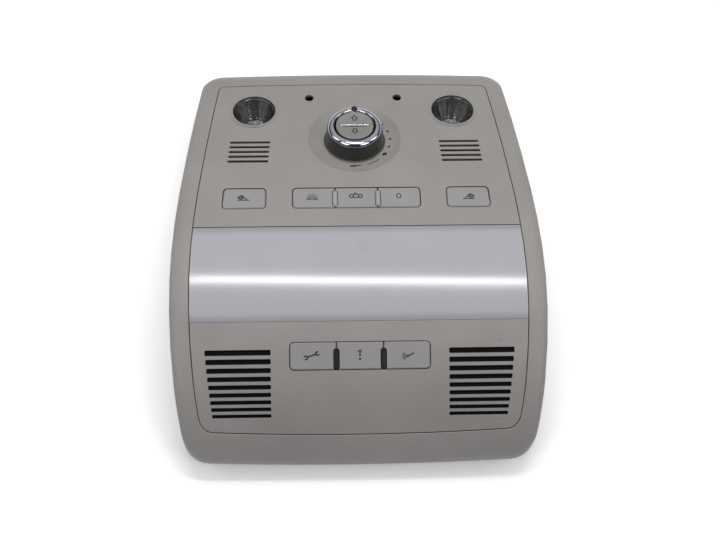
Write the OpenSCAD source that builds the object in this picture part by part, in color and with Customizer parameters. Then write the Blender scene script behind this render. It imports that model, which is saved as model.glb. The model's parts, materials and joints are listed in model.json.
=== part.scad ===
// Overhead console with dome light, two reading lights, a rotary roof switch,
// eight push buttons and two small loudspeakers.
// It lies on its back: +Z is the face that looks down into the cabin, +Y the edge by the windscreen.
// Places on the face are given as x, and u, the length along the curved face from its crest line.

/* [Face] */
// Overall width
face_w = 231; // [200:1:270]
// Plan distance from the crest line to the front edge
front_reach = 104.6; // [95:0.2:112]
// Plan distance from the crest line to the rear edge
rear_reach = 167.1; // [158:0.5:190]
// Radius of the face in front of the crest
front_r = 141; // [130:1:180]
// Radius of the flatter face behind the crest
rear_r = 600; // [500:10:900]
// Angle past the crest where the two radii meet
blend_angle = 5.8; // [3:0.1:8]
// Height of the crest above the rim
crest_h = 52; // [48:0.5:60]
// Depth of the back cover behind the rim
back_depth = 12; // [9:0.5:20]

/* [Outline] */
// Radius of the bowed sides next to the crest line
side_bow_r = 640; // [560:10:800]
// Angle over which that radius runs, forwards and back
side_bow_angle = 5.6; // [4:0.1:7]
// Radius of the almost straight sides behind it
rear_side_r = 4700; // [2500:100:9000]
// Radius of the sides in front of it
front_side_r = 270; // [200:10:400]
// Radius of the bowed front and rear edges
end_bow_r = 2200; // [1500:50:4000]
// Front corner radius
front_corner_r = 16.5; // [13:0.5:20]
// Rear corner radius
rear_corner_r = 15; // [11:0.5:18]
// Bezel width at the sides
bezel_side = 12; // [10:0.5:16]
// Bezel width at the front
bezel_front = 14; // [12:0.5:18]
// Bezel width at the rear
bezel_rear = 11.6; // [10:0.2:15]
// Seam between the bezel and the panels
seam = 0.4; // [0.3:0.1:0.9]
// Seam between the lens and the switch panel
lens_seam = 0.5; // [0.3:0.1:0.9]
// Seam between the lens and the speaker panel
close_seam = 0.15; // [0.1:0.05:0.5]
// Thickness of the face panels
panel_t = 2.5; // [2:0.1:3]
// Wall of the bezel
bezel_t = 2.4; // [2:0.1:3]

/* [Dome light] */
// Front edge of the lens along the face
lens_front = -28.4; // [-32:0.2:-26]
// Rear edge of the lens along the face
lens_rear = 34.9; // [30:0.2:38]
// Depth of the lens with its walls
lens_depth = 9; // [7:0.5:12]
// Height of the reflector tray below the lens
tray_h = 22; // [18:1:26]
// Radius of a tubular bulb
tube_r = 5; // [4:0.1:6]
// Length of a tubular bulb
tube_l = 36; // [31:1:44]

/* [Reading lights] */
// Distance of each reading light from the side of the panel
reading_side = 37.1; // [32:0.1:44]
// Place of the reading lights along the face
reading_u = 132.8; // [130:0.2:136]
// Radius of the reading glass
reading_r = 13.8; // [12:0.1:14.5]
// Depth of the reading reflector
reading_depth = 15; // [12:0.5:18]

/* [Rotary switch] */
// Place of the knob along the face
knob_u = 106.8; // [104:0.2:110]
// Radius of the knob at its foot
knob_r = 19.6; // [18:0.1:21]
// Height of the knob above the face
knob_h = 12; // [10:0.5:14]
// Radius of the dish around the knob
dish_r = 29.8; // [27:0.1:32]
// Depth of the dish
dish_d = 2.4; // [2:0.1:3]
// Radius of the fixed post that the knob turns on
post_r = 4; // [3:0.1:5]

/* [Buttons] */
// Place of the rear button row along the face
row_u = 56.8; // [54:0.2:60]
// Length of the rear buttons along the face
row_l = 16.3; // [13:0.1:18]
// Width of the three-button rear opening
row_w = 81.6; // [76:0.2:86]
// Place of the front button row along the face
front_row_u = -49.5; // [-52:0.1:-47]
// Length of the front buttons along the face
front_row_l = 17.2; // [14:0.1:18]
// Width of the three-button front opening
front_row_w = 85.4; // [80:0.2:90]
// Corner radius of the button openings
button_corner_r = 3; // [2:0.1:4]
// Width of a divider between two buttons
divider_w = 3; // [2:0.1:4]
// Gap between the rear opening and the reading light buttons
side_button_off = 16.2; // [13:0.1:18]
// Distance of the reading light buttons from the side of the panel
side_button_side = 18.7; // [15:0.1:24]
// Travel of every button
button_travel = 1.2; // [0.8:0.1:1.4]
// Gap round a button
button_gap = 0.4; // [0.3:0.05:0.6]
// Running clearance of stems, post and pivot
fit = 0.06; // [0.03:0.01:0.1]

/* [Grilles] */
// Slots in each rear grille
mic_slots = 5; // [3:1:6]
// Pitch of the rear slots
mic_pitch = 4.1; // [3.6:0.1:4.4]
// Length of a rear slot
mic_slot_w = 26.4; // [20:0.2:28]
// Opening of a rear slot
mic_slot_h = 1.9; // [1.2:0.1:2.2]
// Distance of the rear grilles' middle from the side of the panel
mic_side = 34.7; // [32:0.1:38]
// Place of the rear grilles along the face
mic_u = 95.2; // [93:0.2:97]
// Slots in each speaker grille
sound_slots = 9; // [5:1:9]
// First pitch of the speaker slots
sound_pitch = 5.5; // [5:0.1:5.6]
// How much each next pitch is smaller
sound_pitch_step = 0.19; // [0:0.01:0.25]
// Share of a pitch that is open
sound_open = 0.6; // [0.4:0.01:0.65]
// First speaker slot along the face
sound_u = -47; // [-48:0.1:-45]
// Gap between the front opening and the speaker slots
sound_off = 11.1; // [10:0.1:16]
// Distance of the first speaker slot from the side of the panel
sound_side = 10.1; // [8:0.1:16]
// How far the loudspeaker frame reaches past half the length of a slot
speaker_rim = 2.2; // [0:0.1:3]
// Skin left over the grilles
grille_t = 1.1; // [0.9:0.1:1.6]

/* [Fixing] */
// Distance between the two fixing screws
screw_spacing = 59.2; // [54:0.2:64]
// Place of the fixing screws along the face
screw_u = 145.3; // [142:0.1:148]
// Radius of the fixing holes in the back cover
screw_hole_r = 2.6; // [2:0.1:3]
// Radius of the access holes in the face
access_r = 2.95; // [2.8:0.05:3.2]
// Wall of the back cover
cover_t = 2; // [1.6:0.1:2.6]
// Board thickness
board_t = 1.6; // [1.2:0.1:2]

/* [Hidden] */
SIDES = [["left", -1], ["right", 1]];
$fn = 96;
panel_side = face_w / 2 - bezel_side;
reading_x = panel_side - reading_side;
side_button_in = row_w / 2 + side_button_off;
side_button_out = panel_side - side_button_side;
mic_x = panel_side - mic_side;
sound_in = front_row_w / 2 + sound_off;
sound_out = panel_side - sound_side;
// Degrees in one radian
RAD = 180 / PI;
// A cut runs this far past the face that it opens
over = 1;
crest_y = (front_reach - rear_reach) / 2;
crest_z = back_depth + crest_h;
blend_u = front_r * blend_angle / RAD;
blend_dir = [sin(blend_angle), cos(blend_angle)];
front_centre = [0, -front_r];
rear_centre = front_centre - (rear_r - front_r) * blend_dir;
stem_r = 2;
block_top = -6.4;
block_bottom = -14;
board_u = 79;
board_h = 16;
front_board_h = 14;
main_board_z = 9;
socket_floor = 7.4;
mount_y = crest_y + face_y(screw_u);

// Fall of the face towards the rear, in degrees, at a length along it
function tilt(u) = u < blend_u ? u / front_r * RAD : blend_angle + (u - blend_u) / rear_r * RAD;
// Plan place and height of the face, from the crest, at a length along it
function face_y(u) = u < blend_u ? front_r * sin(tilt(u)) : rear_centre[0] + rear_r * sin(tilt(u));
function face_z(u) = u < blend_u ? front_r * (cos(tilt(u)) - 1) : rear_centre[1] + rear_r * cos(tilt(u));
// Height of the face, from the crest, at a plan distance from the crest line
function height_at(y) = y < front_r * blend_dir[0]
  ? sqrt(front_r ^ 2 - y ^ 2) - front_r
  : rear_centre[1] + sqrt(rear_r ^ 2 - (y - rear_centre[0]) ^ 2);
// Cosine of the slope at a plan distance from the crest line
function slope_cos(y) = y < front_r * blend_dir[0]
  ? sqrt(1 - (y / front_r) ^ 2) : sqrt(1 - ((y - rear_centre[0]) / rear_r) ^ 2);

// Where two circles meet; side picks one of the two points
function meet(c1, r1, c2, r2, side) =
  let (d = norm(c2 - c1), e = (c2 - c1) / d, a = (r1 ^ 2 - r2 ^ 2 + d ^ 2) / (2 * d))
  c1 + a * e + side * sqrt(r1 ^ 2 - a ^ 2) * [-e[1], e[0]];
function heading(v) = atan2(v[1], v[0]);
function arc(c, r, a, b, n) = [for (i = [0 : n - 1]) let (t = a + (b - a) * i / n) c + r * [cos(t), sin(t)]];
// Right half of an outline with bowed edges and rounded corners, from the front to the rear middle.
// Its side is three arcs that touch: one round the crest line, one behind it and one in front
function half_outline(w, front, rear, inset, front_round, rear_round) =
  let (rm = side_bow_r - inset, rr = rear_side_r - inset, rf = front_side_r - inset, re = end_bow_r - inset,
    m = [w - rm, 0],
    s = m - (rr - rm) * [cos(side_bow_angle), sin(side_bow_angle)],
    c = m + (rm - rf) * [cos(side_bow_angle), -sin(side_bow_angle)],
    f = [0, re - front], b = [0, rear - re],
    p = meet(c, rf - front_round, f, re - front_round, -1),
    q = meet(s, rr - rear_round, b, re - rear_round, 1))
  concat(arc(f, re, -90, heading(p - f), 4), arc(p, front_round, heading(p - f), heading(p - c), 7),
    arc(c, rf, heading(p - c), -side_bow_angle, 4), arc(m, rm, -side_bow_angle, side_bow_angle, 6),
    arc(s, rr, side_bow_angle, heading(q - s), 3), arc(q, rear_round, heading(q - s), heading(q - b), 7),
    arc(b, re, heading(q - b), 90, 4), [[0, rear]]);
// Whole outline: the right half and its mirror image, without the shared middle points twice
function outline(w, front, rear, inset, front_round, rear_round) =
  let (h = half_outline(w, front, rear, inset, front_round, rear_round), n = len(h))
  concat(h, [for (i = [n - 2 : -1 : 1]) [-h[i][0], h[i][1]]]);
// Outline of the outer edge, moved inwards by d
function outer_edge(d = 0) = outline(face_w / 2 - d, front_reach - d, rear_reach - d, d,
  max(2, front_corner_r - d), max(2, rear_corner_r - d));
// Outline of the inner edge of the bezel, moved inwards by d
function inner_edge(d = 0) = outline(face_w / 2 - bezel_side - d, front_reach - bezel_front - d,
  rear_reach - bezel_rear - d, bezel_side + d, max(2, 9 - d), max(1.2, 4.5 - d));

// Points of a rectangle with rounded corners, n steps to a corner
function rounded(w, l, r, n = 4) = [for (q = [0 : 3], i = [0 : n])
  let (a = 90 * (q + i / n), c = [(q == 0 || q == 3 ? 1 : -1) * (w / 2 - r), (q < 2 ? 1 : -1) * (l / 2 - r)])
  c + r * [cos(a), sin(a)]];

// Everything below the face, moved out by h along its normal. The front disc lies inside the rear
// one behind their common tangent point, so only the rear one is cut there
module under_face(h = 0) {
  reach = 2 * rear_r;
  translate([0, crest_y, crest_z]) rotate([90, 0, 90]) linear_extrude(face_w + 20, center = true) {
    translate(front_centre) circle(front_r + h, $fn = 256);
    intersection() {
      translate(rear_centre) circle(rear_r + h, $fn = 512);
      translate(rear_centre) polygon([[0, 0], reach * blend_dir, [reach, reach], [reach, 0]]);
    }
  }
}

// A skin between two heights from the face, inside a plan shape
module face_skin(low, high) {
  intersection() {
    children();
    difference() {
      under_face(high);
      under_face(low);
    }
  }
}

// An upright prism on an outline given from the crest line
module plan(points, z0 = 0, z1 = 100) {
  translate([0, crest_y, z0]) linear_extrude(z1 - z0) polygon(points);
}

// Upright box across the whole face between two lengths along it
module band(u0, u1, w = 300) {
  translate([-w / 2, crest_y + face_y(u0), 0]) cube([w, face_y(u1) - face_y(u0), 100]);
}

// Places children on the face, square to it
module on_face(x, u, h = 0) {
  translate([x, crest_y + face_y(u), crest_z + face_z(u)]) rotate([-tilt(u), 0, 0]) translate([0, 0, h]) children();
}

// Plate with rounded corners between two heights
module plate(w, l, r, low, high) {
  translate([0, 0, low]) linear_extrude(high - low) polygon(rounded(w, l, r));
}

module tube(outer, inner, low, high) {
  translate([0, 0, low]) difference() {
    cylinder(h = high - low, r = outer);
    translate([0, 0, -over]) cylinder(h = high - low + 2 * over, r = inner);
  }
}

// Bezel: its section is carried round the outline. Each row gives the share of the way from the
// outer to the inner edge, what the height is measured from, and the height
function bezel_section() = [
  [0.03, "rim", 0], [0, "rim", 1.2], [0, "face", -3.4], [0.02, "face", -2.3], [0.08, "face", -1.3],
  [0.2, "face", -0.5], [0.4, "face", 0.1], [0.7, "face", 0.25], [0.97, "face", 0.1], [1, "face", -0.25],
  [1, "panel", -panel_t - 0.4], [1.25, "panel", -panel_t - 0.4], [1.25, "panel", -panel_t - 2.4],
  [0.92, "panel", -panel_t - 2.4], [0.82, "panel", -bezel_t], [0.22, "face", -bezel_t - 0.8],
  [bezel_t / bezel_side, "rim", 0]];
function bezel_height(from, h, y) = from == "rim" ? back_depth + h
  : crest_z + height_at(y) + (from == "face" ? h : h / slope_cos(y));

module bezel_frame() {
  outer = outer_edge();
  inner = inner_edge();
  n = len(outer);
  section = bezel_section();
  k = len(section);
  points = [for (s = section, i = [0 : n - 1])
    let (p = outer[i] + s[0] * (inner[i] - outer[i])) [p[0], crest_y + p[1], bezel_height(s[1], s[2], p[1])]];
  faces = [for (j = [0 : k - 1], i = [0 : n - 1])
    let (a = j * n + i, b = j * n + (i + 1) % n, c = ((j + 1) % k) * n + i, d = ((j + 1) % k) * n + (i + 1) % n)
    each [[a, c, b], [b, c, d]]];
  color([0.57, 0.56, 0.55]) polyhedron(points, faces);
}

// Opening for a row of three buttons
module row_opening(u, w, l) {
  on_face(0, u) plate(w, l, button_corner_r, -2 * panel_t, 2 * panel_t);
}

// Plan quadrilateral of a reading light button; its outer edge follows the side of the console
function side_quad(d) = let (l = row_l / 2 - d, a = side_button_in + d, b = side_button_out - d)
  [[a, -l], [b + side_lean, -l], [b - side_lean, l], [a, l]];
side_lean = 0.4;

module board_boss(x, y, low, high) {
  translate([x, y, low]) cylinder(h = high - low, r = 3, $fn = 32);
}

side_post = panel_side - 21.5;
inner_post = row_w / 2 + 9.2;
board_posts = [[-inner_post, -30], [inner_post, -30], [-side_post, 30], [side_post, 30], [-36, 30], [36, 30]];
front_post = front_row_w / 2 + 4.3;
front_board_posts = [[-front_post, -9], [front_post, -9], [-front_post, 9], [front_post, 9]];

// Radius and height of points from the floor of the dish, past its soft edge, to just above the face
function dish_profile() = let (a = knob_r + 1.4, b = dish_r + 0.7)
  [for (i = [0 : 8]) let (t = 1.1 * i / 8) [a + (b - a) * t, dish_d * (t ^ 2.2 - 1)]];

// Boxes round the slots of one grille: x from and to, then u from and to
function mic_box(m) = let (w = mic_slot_w / 2 + 1.5, l = (mic_pitch * (mic_slots - 1) + mic_slot_h) / 2 + 1.2)
  [m * mic_x - w, m * mic_x + w, mic_u - l, mic_u + l];
function sound_box(m) = let (w = (sound_out - sound_in) / 2 + 1.5)
  [m * (sound_in + sound_out) / 2 - w, m * (sound_in + sound_out) / 2 + w,
    slot_u(sound_slots - 1) - slot_h(sound_slots - 1) / 2 - 1.5, slot_u(0) + slot_h(0) / 2 + 1.5];

// Upright box over a part of the face, made smaller by d on each side
module face_box(b, d = 0) {
  translate([b[0] + d, crest_y + face_y(b[2]) + d, 0]) cube([b[1] - b[0] - 2 * d, face_y(b[3]) - face_y(b[2]) - 2 * d, 100]);
}

// Thins a panel from behind to the skin of a grille
module grille_pocket(b) {
  intersection() {
    under_face(-grille_t);
    face_box(b);
  }
}

module switch_panel() {
  color([0.58, 0.57, 0.56]) difference() {
    union() {
      face_skin(-panel_t, 0) intersection() {
        plan(inner_edge(seam));
        translate([0, lens_seam, 0]) band(lens_rear, lens_rear + rear_reach);
      }
      on_face(0, knob_u) tube(dish_r + 2.2, knob_r - 3, -dish_d - 1.8, -panel_t + 0.4);
      intersection() {
        under_face(-panel_t / 2);
        on_face(0, board_u, -board_h) for (p = board_posts) board_boss(p[0], p[1], 0, board_h + 2);
      }
      for (s = SIDES) on_face(s[1] * reading_x, reading_u) tube(reading_r + 2, reading_r + 0.4, -panel_t + 0.4, 0.15);
    }
    on_face(0, knob_u) rotate_extrude() polygon(concat([[0, 6], [0, -dish_d]], dish_profile(),
      [[dish_profile()[8][0], 6]]));
    on_face(0, knob_u) translate([0, 0, -10]) cylinder(h = 20, r = knob_r + 0.4);
    for (s = SIDES) {
      on_face(s[1] * reading_x, reading_u) translate([0, 0, -8]) cylinder(h = 16, r = reading_r + 0.4);
      on_face(0, row_u) translate([0, 0, -8]) linear_extrude(16) mirror([s[1] < 0 ? 1 : 0, 0])
        offset(r = button_corner_r, $fn = 32) offset(delta = -button_corner_r) polygon(side_quad(0));
      grille_pocket(mic_box(s[1]));
      for (i = [0 : mic_slots - 1]) on_face(s[1] * (mic_x - 0.28 * (mic_slots - 1 - 2 * i) / 2),
        mic_u + mic_pitch * ((mic_slots - 1) / 2 - i))
        plate(mic_slot_w, mic_slot_h, mic_slot_h / 2 - 0.01, -2 * panel_t, panel_t);
      translate([s[1] * screw_spacing / 2, mount_y, 0]) cylinder(h = 100, r = access_r);
    }
    row_opening(row_u, row_w, row_l);
  }
}

// Places of the speaker slots along the face, each a little closer than the last
function slot_u(i) = sound_u - sound_pitch * i + sound_pitch_step * i * (i - 1) / 2;
function slot_h(i) = sound_open * (sound_pitch - sound_pitch_step * i);
sound_mid_x = (sound_in + sound_out) / 2 - 1;
sound_mid_u = (slot_u(0) + slot_u(sound_slots - 1)) / 2;

module speaker_panel() {
  color([0.55, 0.54, 0.55]) difference() {
    union() {
      face_skin(-panel_t, 0) intersection() {
        plan(inner_edge(seam));
        translate([0, -close_seam, 0]) band(lens_front - front_reach, lens_front);
      }
      intersection() {
        under_face(-panel_t / 2);
        on_face(0, front_row_u, -front_board_h) for (p = front_board_posts) board_boss(p[0], p[1], 0, front_board_h + 2);
      }
    }
    for (s = SIDES, i = [0 : sound_slots - 1]) let (out = sound_out - 0.5 * i)
      on_face(s[1] * (sound_in + out) / 2, slot_u(i)) plate(out - sound_in, slot_h(i), 0.7, -2 * panel_t, panel_t);
    for (s = SIDES) grille_pocket(sound_box(s[1]));
    row_opening(front_row_u, front_row_w, front_row_l);
  }
}

// Dome lens: a thin curved shell with a wall set in from its edge
module dome_lens() {
  wall = 2;
  color([0.72, 0.71, 0.75]) {
    face_skin(-2, 0) intersection() {
      plan(inner_edge(seam));
      band(lens_front, lens_rear);
    }
    face_skin(-lens_depth, -1.5) lens_wall(4.5, 1.5, wall);
  }
}

// Upright ring below the lens: d in from the sides, e in from the front and rear edges
module lens_wall(d, e, wall) {
  difference() {
    lens_plan(d, e);
    lens_plan(d + wall, e + wall);
  }
}

module lens_plan(d, e) {
  intersection() {
    plan(inner_edge(seam + d));
    translate([-150, crest_y + face_y(lens_front) + e, 0]) cube([300, face_y(lens_rear) - face_y(lens_front) - 2 * e, 100]);
  }
}

tray_floor = crest_z - lens_depth - tray_h;

module dome_reflector() {
  wall = 1.6;
  color([0.93, 0.93, 0.92]) difference() {
    intersection() {
      under_face(-lens_depth - 0.2);
      lens_plan(4.5, 1.5);
      translate([-150, -150, tray_floor]) cube([300, 300, 100]);
    }
    intersection() {
      lens_plan(4.5 + wall, 1.5 + wall);
      translate([-150, -150, tray_floor + wall]) cube([300, 300, 100]);
    }
  }
}

tube_x = 46;
tube_z = tray_floor + 1.6 + 8;

module tube_bulbs() {
  for (s = SIDES) translate([s[1] * tube_x, crest_y, tube_z]) rotate([0, 90, 0]) {
    color([0.95, 0.95, 0.93]) cylinder(h = tube_l - 12, r = tube_r, center = true);
    color([0.75, 0.72, 0.62]) for (m = [0, 1]) mirror([0, 0, m]) translate([0, 0, tube_l / 2 - 6])
      cylinder(h = 6, r1 = tube_r - 0.6, r2 = 1.6);
  }
}

// Sprung contact strips that hold the bulbs by their pointed caps
module bulb_contacts() {
  color([0.8, 0.66, 0.35]) for (s = SIDES, m = [-1, 1]) difference() {
    translate([s[1] * tube_x + m * (tube_l / 2 - 0.6) - 0.6, crest_y - 4, tray_floor + 1.6]) cube([1.2, 8, 12]);
    translate([s[1] * tube_x, crest_y, tube_z]) rotate([0, 90, 0]) cylinder(h = tube_l + 8, r = 2.3, center = true);
  }
}

module reading_lens(m) {
  color([0.3, 0.3, 0.32]) on_face(m * reading_x, reading_u) {
    translate([0, 0, -3.2]) cylinder(h = 2.7, r = reading_r);
    translate([0, 0, -4]) cylinder(h = 0.9, r = reading_r - 1.5);
  }
}

module reading_reflector(m) {
  r = reading_r;
  low = -4.2 - reading_depth;
  color([0.85, 0.85, 0.86]) on_face(m * reading_x, reading_u) rotate_extrude() polygon(concat(
    [[r + 2, -4.2], [r + 2, -5.2], [r - 0.6, -5.2]],
    [for (i = [0 : 8]) let (t = i / 8) [5.2 + (r - 6.4) * sqrt(1 - t), -5.8 - (reading_depth - 1.6) * t]],
    [[4.2, low]],
    [for (i = [8 : -1 : 0]) let (t = i / 8) [4.2 + (r - 6.2) * sqrt(1 - t), -5 - (reading_depth - 2.4) * t]],
    [[r - 1.8, -4.2]]));
}

module reading_bulb(m) {
  color([0.9, 0.9, 0.88]) on_face(m * reading_x, reading_u, -4.2 - reading_depth - 2) rotate_extrude()
    polygon(concat([[0, 0], [3, 0], [3, 6]], [for (a = [0 : 15 : 90]) [2.4 * cos(a), 9 + 2.4 * sin(a)]]));
}

module reading_socket(m) {
  color([0.2, 0.2, 0.2]) on_face(m * reading_x, reading_u, -4.2 - reading_depth) difference() {
    union() {
      translate([0, 0, -8]) cylinder(h = 7.9, r = 7);
      translate([-2, -9, -7]) cube([4, 18, 4]);
    }
    translate([0, 0, -2.1]) cylinder(h = 4, r = 3.1);
  }
}

// Knob: a hollow cap that turns on the fixed post
module knob_body() {
  foot = -dish_d - 0.6;
  top = knob_h - 2.7;
  color([0.35, 0.35, 0.36]) on_face(0, knob_u) rotate_extrude() polygon([
    [post_r + fit, foot - 1], [post_r + fit, knob_h - 6.5], [post_r + 2, knob_h - 6.5], [post_r + 2, 3.4],
    [knob_r - 6.4, 3.4], [knob_r - 6.4, top], [knob_r - 1.9, top], [knob_r - 1.6, top - 0.4],
    [knob_r - 0.2, foot + 0.8], [knob_r, foot], [knob_r - 1.8, foot], [knob_r - 3.6, 1.6], [post_r + 2, 1.6],
    [post_r + 2, foot - 1]]);
}

ring_mid = knob_r - 4.3;
ring_r = 2.35;

module knob_ring() {
  color([0.85, 0.85, 0.87]) on_face(0, knob_u) difference() {
    rotate_extrude() intersection() {
      translate([ring_mid, knob_h - 2.4]) circle(ring_r, $fn = 48);
      translate([ring_mid - 4, knob_h - 2.7]) square([8, 4]);
    }
    translate([-pointer_w / 2, ring_mid - pointer_l / 2, knob_h - 0.8]) cube([pointer_w, pointer_l, 2]);
  }
}

pointer_w = 3.2;
pointer_l = 3;

module knob_pointer() {
  color([0.1, 0.1, 0.1]) on_face(0, knob_u)
    translate([-pointer_w / 2, ring_mid - pointer_l / 2, knob_h - 0.8]) cube([pointer_w, pointer_l, 1]);
}

pin_r = 1;
pin_h = knob_h - 3.6;
// Hollow in the top of the rocker, and the bar that crosses it
hollow_r = 10.6;
hollow_d = 0.8;
bar_l = 18.4;
bar_w = 1.8;

// Rocker in the knob's middle: it tips forwards and back on the pin at the top of the post
module knob_rocker() {
  r = knob_r - 7.4;
  top = knob_h + 0.2;
  color([0.5, 0.5, 0.5]) on_face(0, knob_u) {
    difference() {
      union() {
        rotate_extrude() polygon(concat([[0, knob_h - 1.6], [r, knob_h - 1.6], [r, knob_h - 0.2], [r - 0.5, top]],
          [for (i = [8 : -1 : 0]) [hollow_r * i / 8, top - hollow_d * (1 - (i / 8) ^ 2)]]));
        for (s = [-1, 1]) translate([s * 3.6 - 1.1, -2.2, pin_h - 2]) cube([2.2, 4.4, knob_h - pin_h + 1]);
      }
      translate([0, 0, pin_h]) rotate([0, 90, 0]) cylinder(h = 12, r = pin_r + fit, center = true, $fn = 48);
    }
    plate(bar_l, bar_w, bar_w / 2 - 0.01, knob_h - 1.3, top - 0.1);
  }
}

module rotary_switch() {
  top = -dish_d - 2.1;
  color([0.16, 0.16, 0.17]) {
    intersection() {
      on_face(0, knob_u) plate(36, 32, 2, -24, top);
      on_face(0, board_u, -board_h) translate([-60, -60, 0]) cube([120, 140, 60]);
    }
    on_face(0, knob_u) {
      translate([0, 0, top - 0.5]) cylinder(h = knob_h - 7 - top + 0.5, r = post_r);
      translate([-1.3, -2, knob_h - 7.2]) cube([2.6, 4, 4.6]);
      translate([0, 0, pin_h]) rotate([0, 90, 0]) cylinder(h = 9.6, r = pin_r, center = true, $fn = 48);
    }
  }
}

// Button cap with bevelled edges over the corners given as x, y and radius, and its round stem
module button(corners, notches = [], low = -4.6, high = 0.2, bevel = 0.6) {
  x0 = min([for (c = corners) c[0]]);
  x1 = max([for (c = corners) c[0]]);
  y0 = min([for (c = corners) c[1]]);
  y1 = max([for (c = corners) c[1]]);
  mid = [(x0 + x1) / 2, (y0 + y1) / 2];
  difference() {
    hull() for (c = corners) {
      inward = [c[0] > mid[0] ? -c[2] : c[2], c[1] > mid[1] ? -c[2] : c[2], 0];
      translate([c[0], c[1], low] + inward) {
        cylinder(h = high - low - bevel, r = c[2], $fn = 24);
        cylinder(h = high - low, r = c[2] - bevel, $fn = 24);
      }
    }
    translate([mid[0], mid[1], low - over]) plate(x1 - x0 - 5, y1 - y0 - 4, 1, 0, 3);
    for (x = notches[0]) translate([x, notches[1], low])
      plate(divider_w + 2 * button_gap, notches[2] + 2 * button_gap, divider_w / 2 + button_gap - 0.01, -over, 6);
  }
  translate([mid[0], mid[1], -12]) cylinder(h = 12 + low + 3.4, r = stem_r, $fn = 48);
}

// Buttons of a row meet in the middle of each divider, with this much between them
row_seam = 0.4;
// What a divider leaves free of the opening: at the rear edge, then at the front edge
rear_free = [3.06, 1.3];
front_free = [4.36, 0.45];
function divider_l(l, free) = l - free[0] - free[1];
function divider_y(free) = (free[1] - free[0]) / 2;
// Corners of button i of three in an opening w wide and l long; only the opening's own are round
function third(i, w, l) =
  let (a = i == 0 ? button_gap - w / 2 : (2 * i - 3) * w / 6 + row_seam / 2,
    b = i == 2 ? w / 2 - button_gap : (2 * i - 1) * w / 6 - row_seam / 2,
    h = l / 2 - button_gap, big = button_corner_r - button_gap, small = 0.8,
    ra = i == 0 ? big : small, rb = i == 2 ? big : small)
  [[a, -h, ra], [b, -h, rb], [b, h, rb], [a, h, ra]];
function third_mid(i, w) = let (q = third(i, w, row_l)) (q[0][0] + q[1][0]) / 2;
// Sides of button i that have a notch, and the notches' place and length
function notches(i, w, l, free) = [[for (k = [i - 1, i]) if (k >= 0 && k < 2) (2 * k - 1) * w / 6],
  divider_y(free), divider_l(l, free)];

module rear_button(i) {
  color([0.56, 0.55, 0.54]) on_face(0, row_u)
    button(third(i, row_w, row_l), notches(i, row_w, row_l, rear_free));
}

module front_button(i) {
  color([0.5, 0.5, 0.51]) on_face(0, front_row_u)
    button(third(i, front_row_w, front_row_l), notches(i, front_row_w, front_row_l, front_free));
}

module reading_button(m) {
  color([0.56, 0.55, 0.54]) on_face(0, row_u) mirror([m < 0 ? 1 : 0, 0, 0])
    button([for (c = side_quad(button_gap)) [c[0], c[1], button_corner_r - button_gap]], [[], 0, 0]);
}

// Bars that stand on the switch block between the buttons of a row
module dividers(u, w, l, free, high) {
  on_face(0, u) for (s = [-1, 1]) translate([s * w / 6, divider_y(free), 0]) {
    plate(divider_w, divider_l(l, free), divider_w / 2 - 0.01, block_top, high - 0.5);
    translate([0, 0, high - 0.5]) plate(divider_w / 2, divider_l(l, free) - divider_w / 2, divider_w / 4 - 0.01, 0, 0.5);
  }
}

module rear_dividers() {
  color([0.68, 0.67, 0.66]) dividers(row_u, row_w, row_l, rear_free, 0.8);
}

module front_dividers() {
  color([0.07, 0.07, 0.07]) dividers(front_row_u, front_row_w, front_row_l, front_free, -0.1);
}

// Switch block with a bored guide for each stem
module block(w, l, stems, low) {
  difference() {
    plate(w, l, 1.5, low, block_top);
    for (x = stems) translate([x, 0, -13.4]) cylinder(h = 10, r = stem_r + fit, $fn = 48);
  }
}

module above_board() {
  intersection() {
    children();
    on_face(0, board_u, -board_h) translate([-120, -60, 0]) cube([240, 140, 60]);
  }
}

module rear_switch_block() {
  color([0.13, 0.13, 0.14]) above_board() on_face(0, row_u)
    block(row_w + 3, row_l + 2, [for (i = [0 : 2]) third_mid(i, row_w)], -22);
}

module front_switch_block() {
  color([0.13, 0.13, 0.14]) on_face(0, front_row_u)
    block(front_row_w + 1, front_row_l + 1, [for (i = [0 : 2]) third_mid(i, front_row_w)], -front_board_h);
}

module side_switch_block(m) {
  // The stem stands in the middle of the button, whose outer edge leans outwards towards the front
  mid = (side_button_out + side_button_in + side_lean) / 2;
  color([0.13, 0.13, 0.14]) above_board() on_face(m * mid, row_u)
    block(side_button_out - side_button_in - 2, row_l + 2, [0], -22);
}

// Cloths behind the grilles
module rear_cloth(m) {
  color([0.05, 0.05, 0.05]) face_skin(-grille_t - 0.6, -grille_t - 0.1) face_box(mic_box(m), 0.3);
}

module speaker_cloth(m) {
  color([0.04, 0.04, 0.04]) face_skin(-grille_t - 0.6, -grille_t - 0.1) face_box(sound_box(m), 0.3);
}

// Microphone capsule on a foot that stands on the switch board
module microphone(m) {
  top = board_h - panel_t - 1.4;
  on_face(0, board_u, -board_h) translate([m * mic_x, mic_u - board_u, 0]) {
    color([0.3, 0.3, 0.3]) translate([0, 0, top - 5.2]) cylinder(h = 5.2, r = 4.8);
    color([0.1, 0.1, 0.1]) cylinder(h = top - 5.2, r = 6);
  }
}

// Loudspeaker: frame with a flange and four windows, paper cone, and magnet with its yoke
speaker_h = -panel_t - 2.4;
speaker_r = (sound_out - sound_in) / 2 + speaker_rim;

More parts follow.
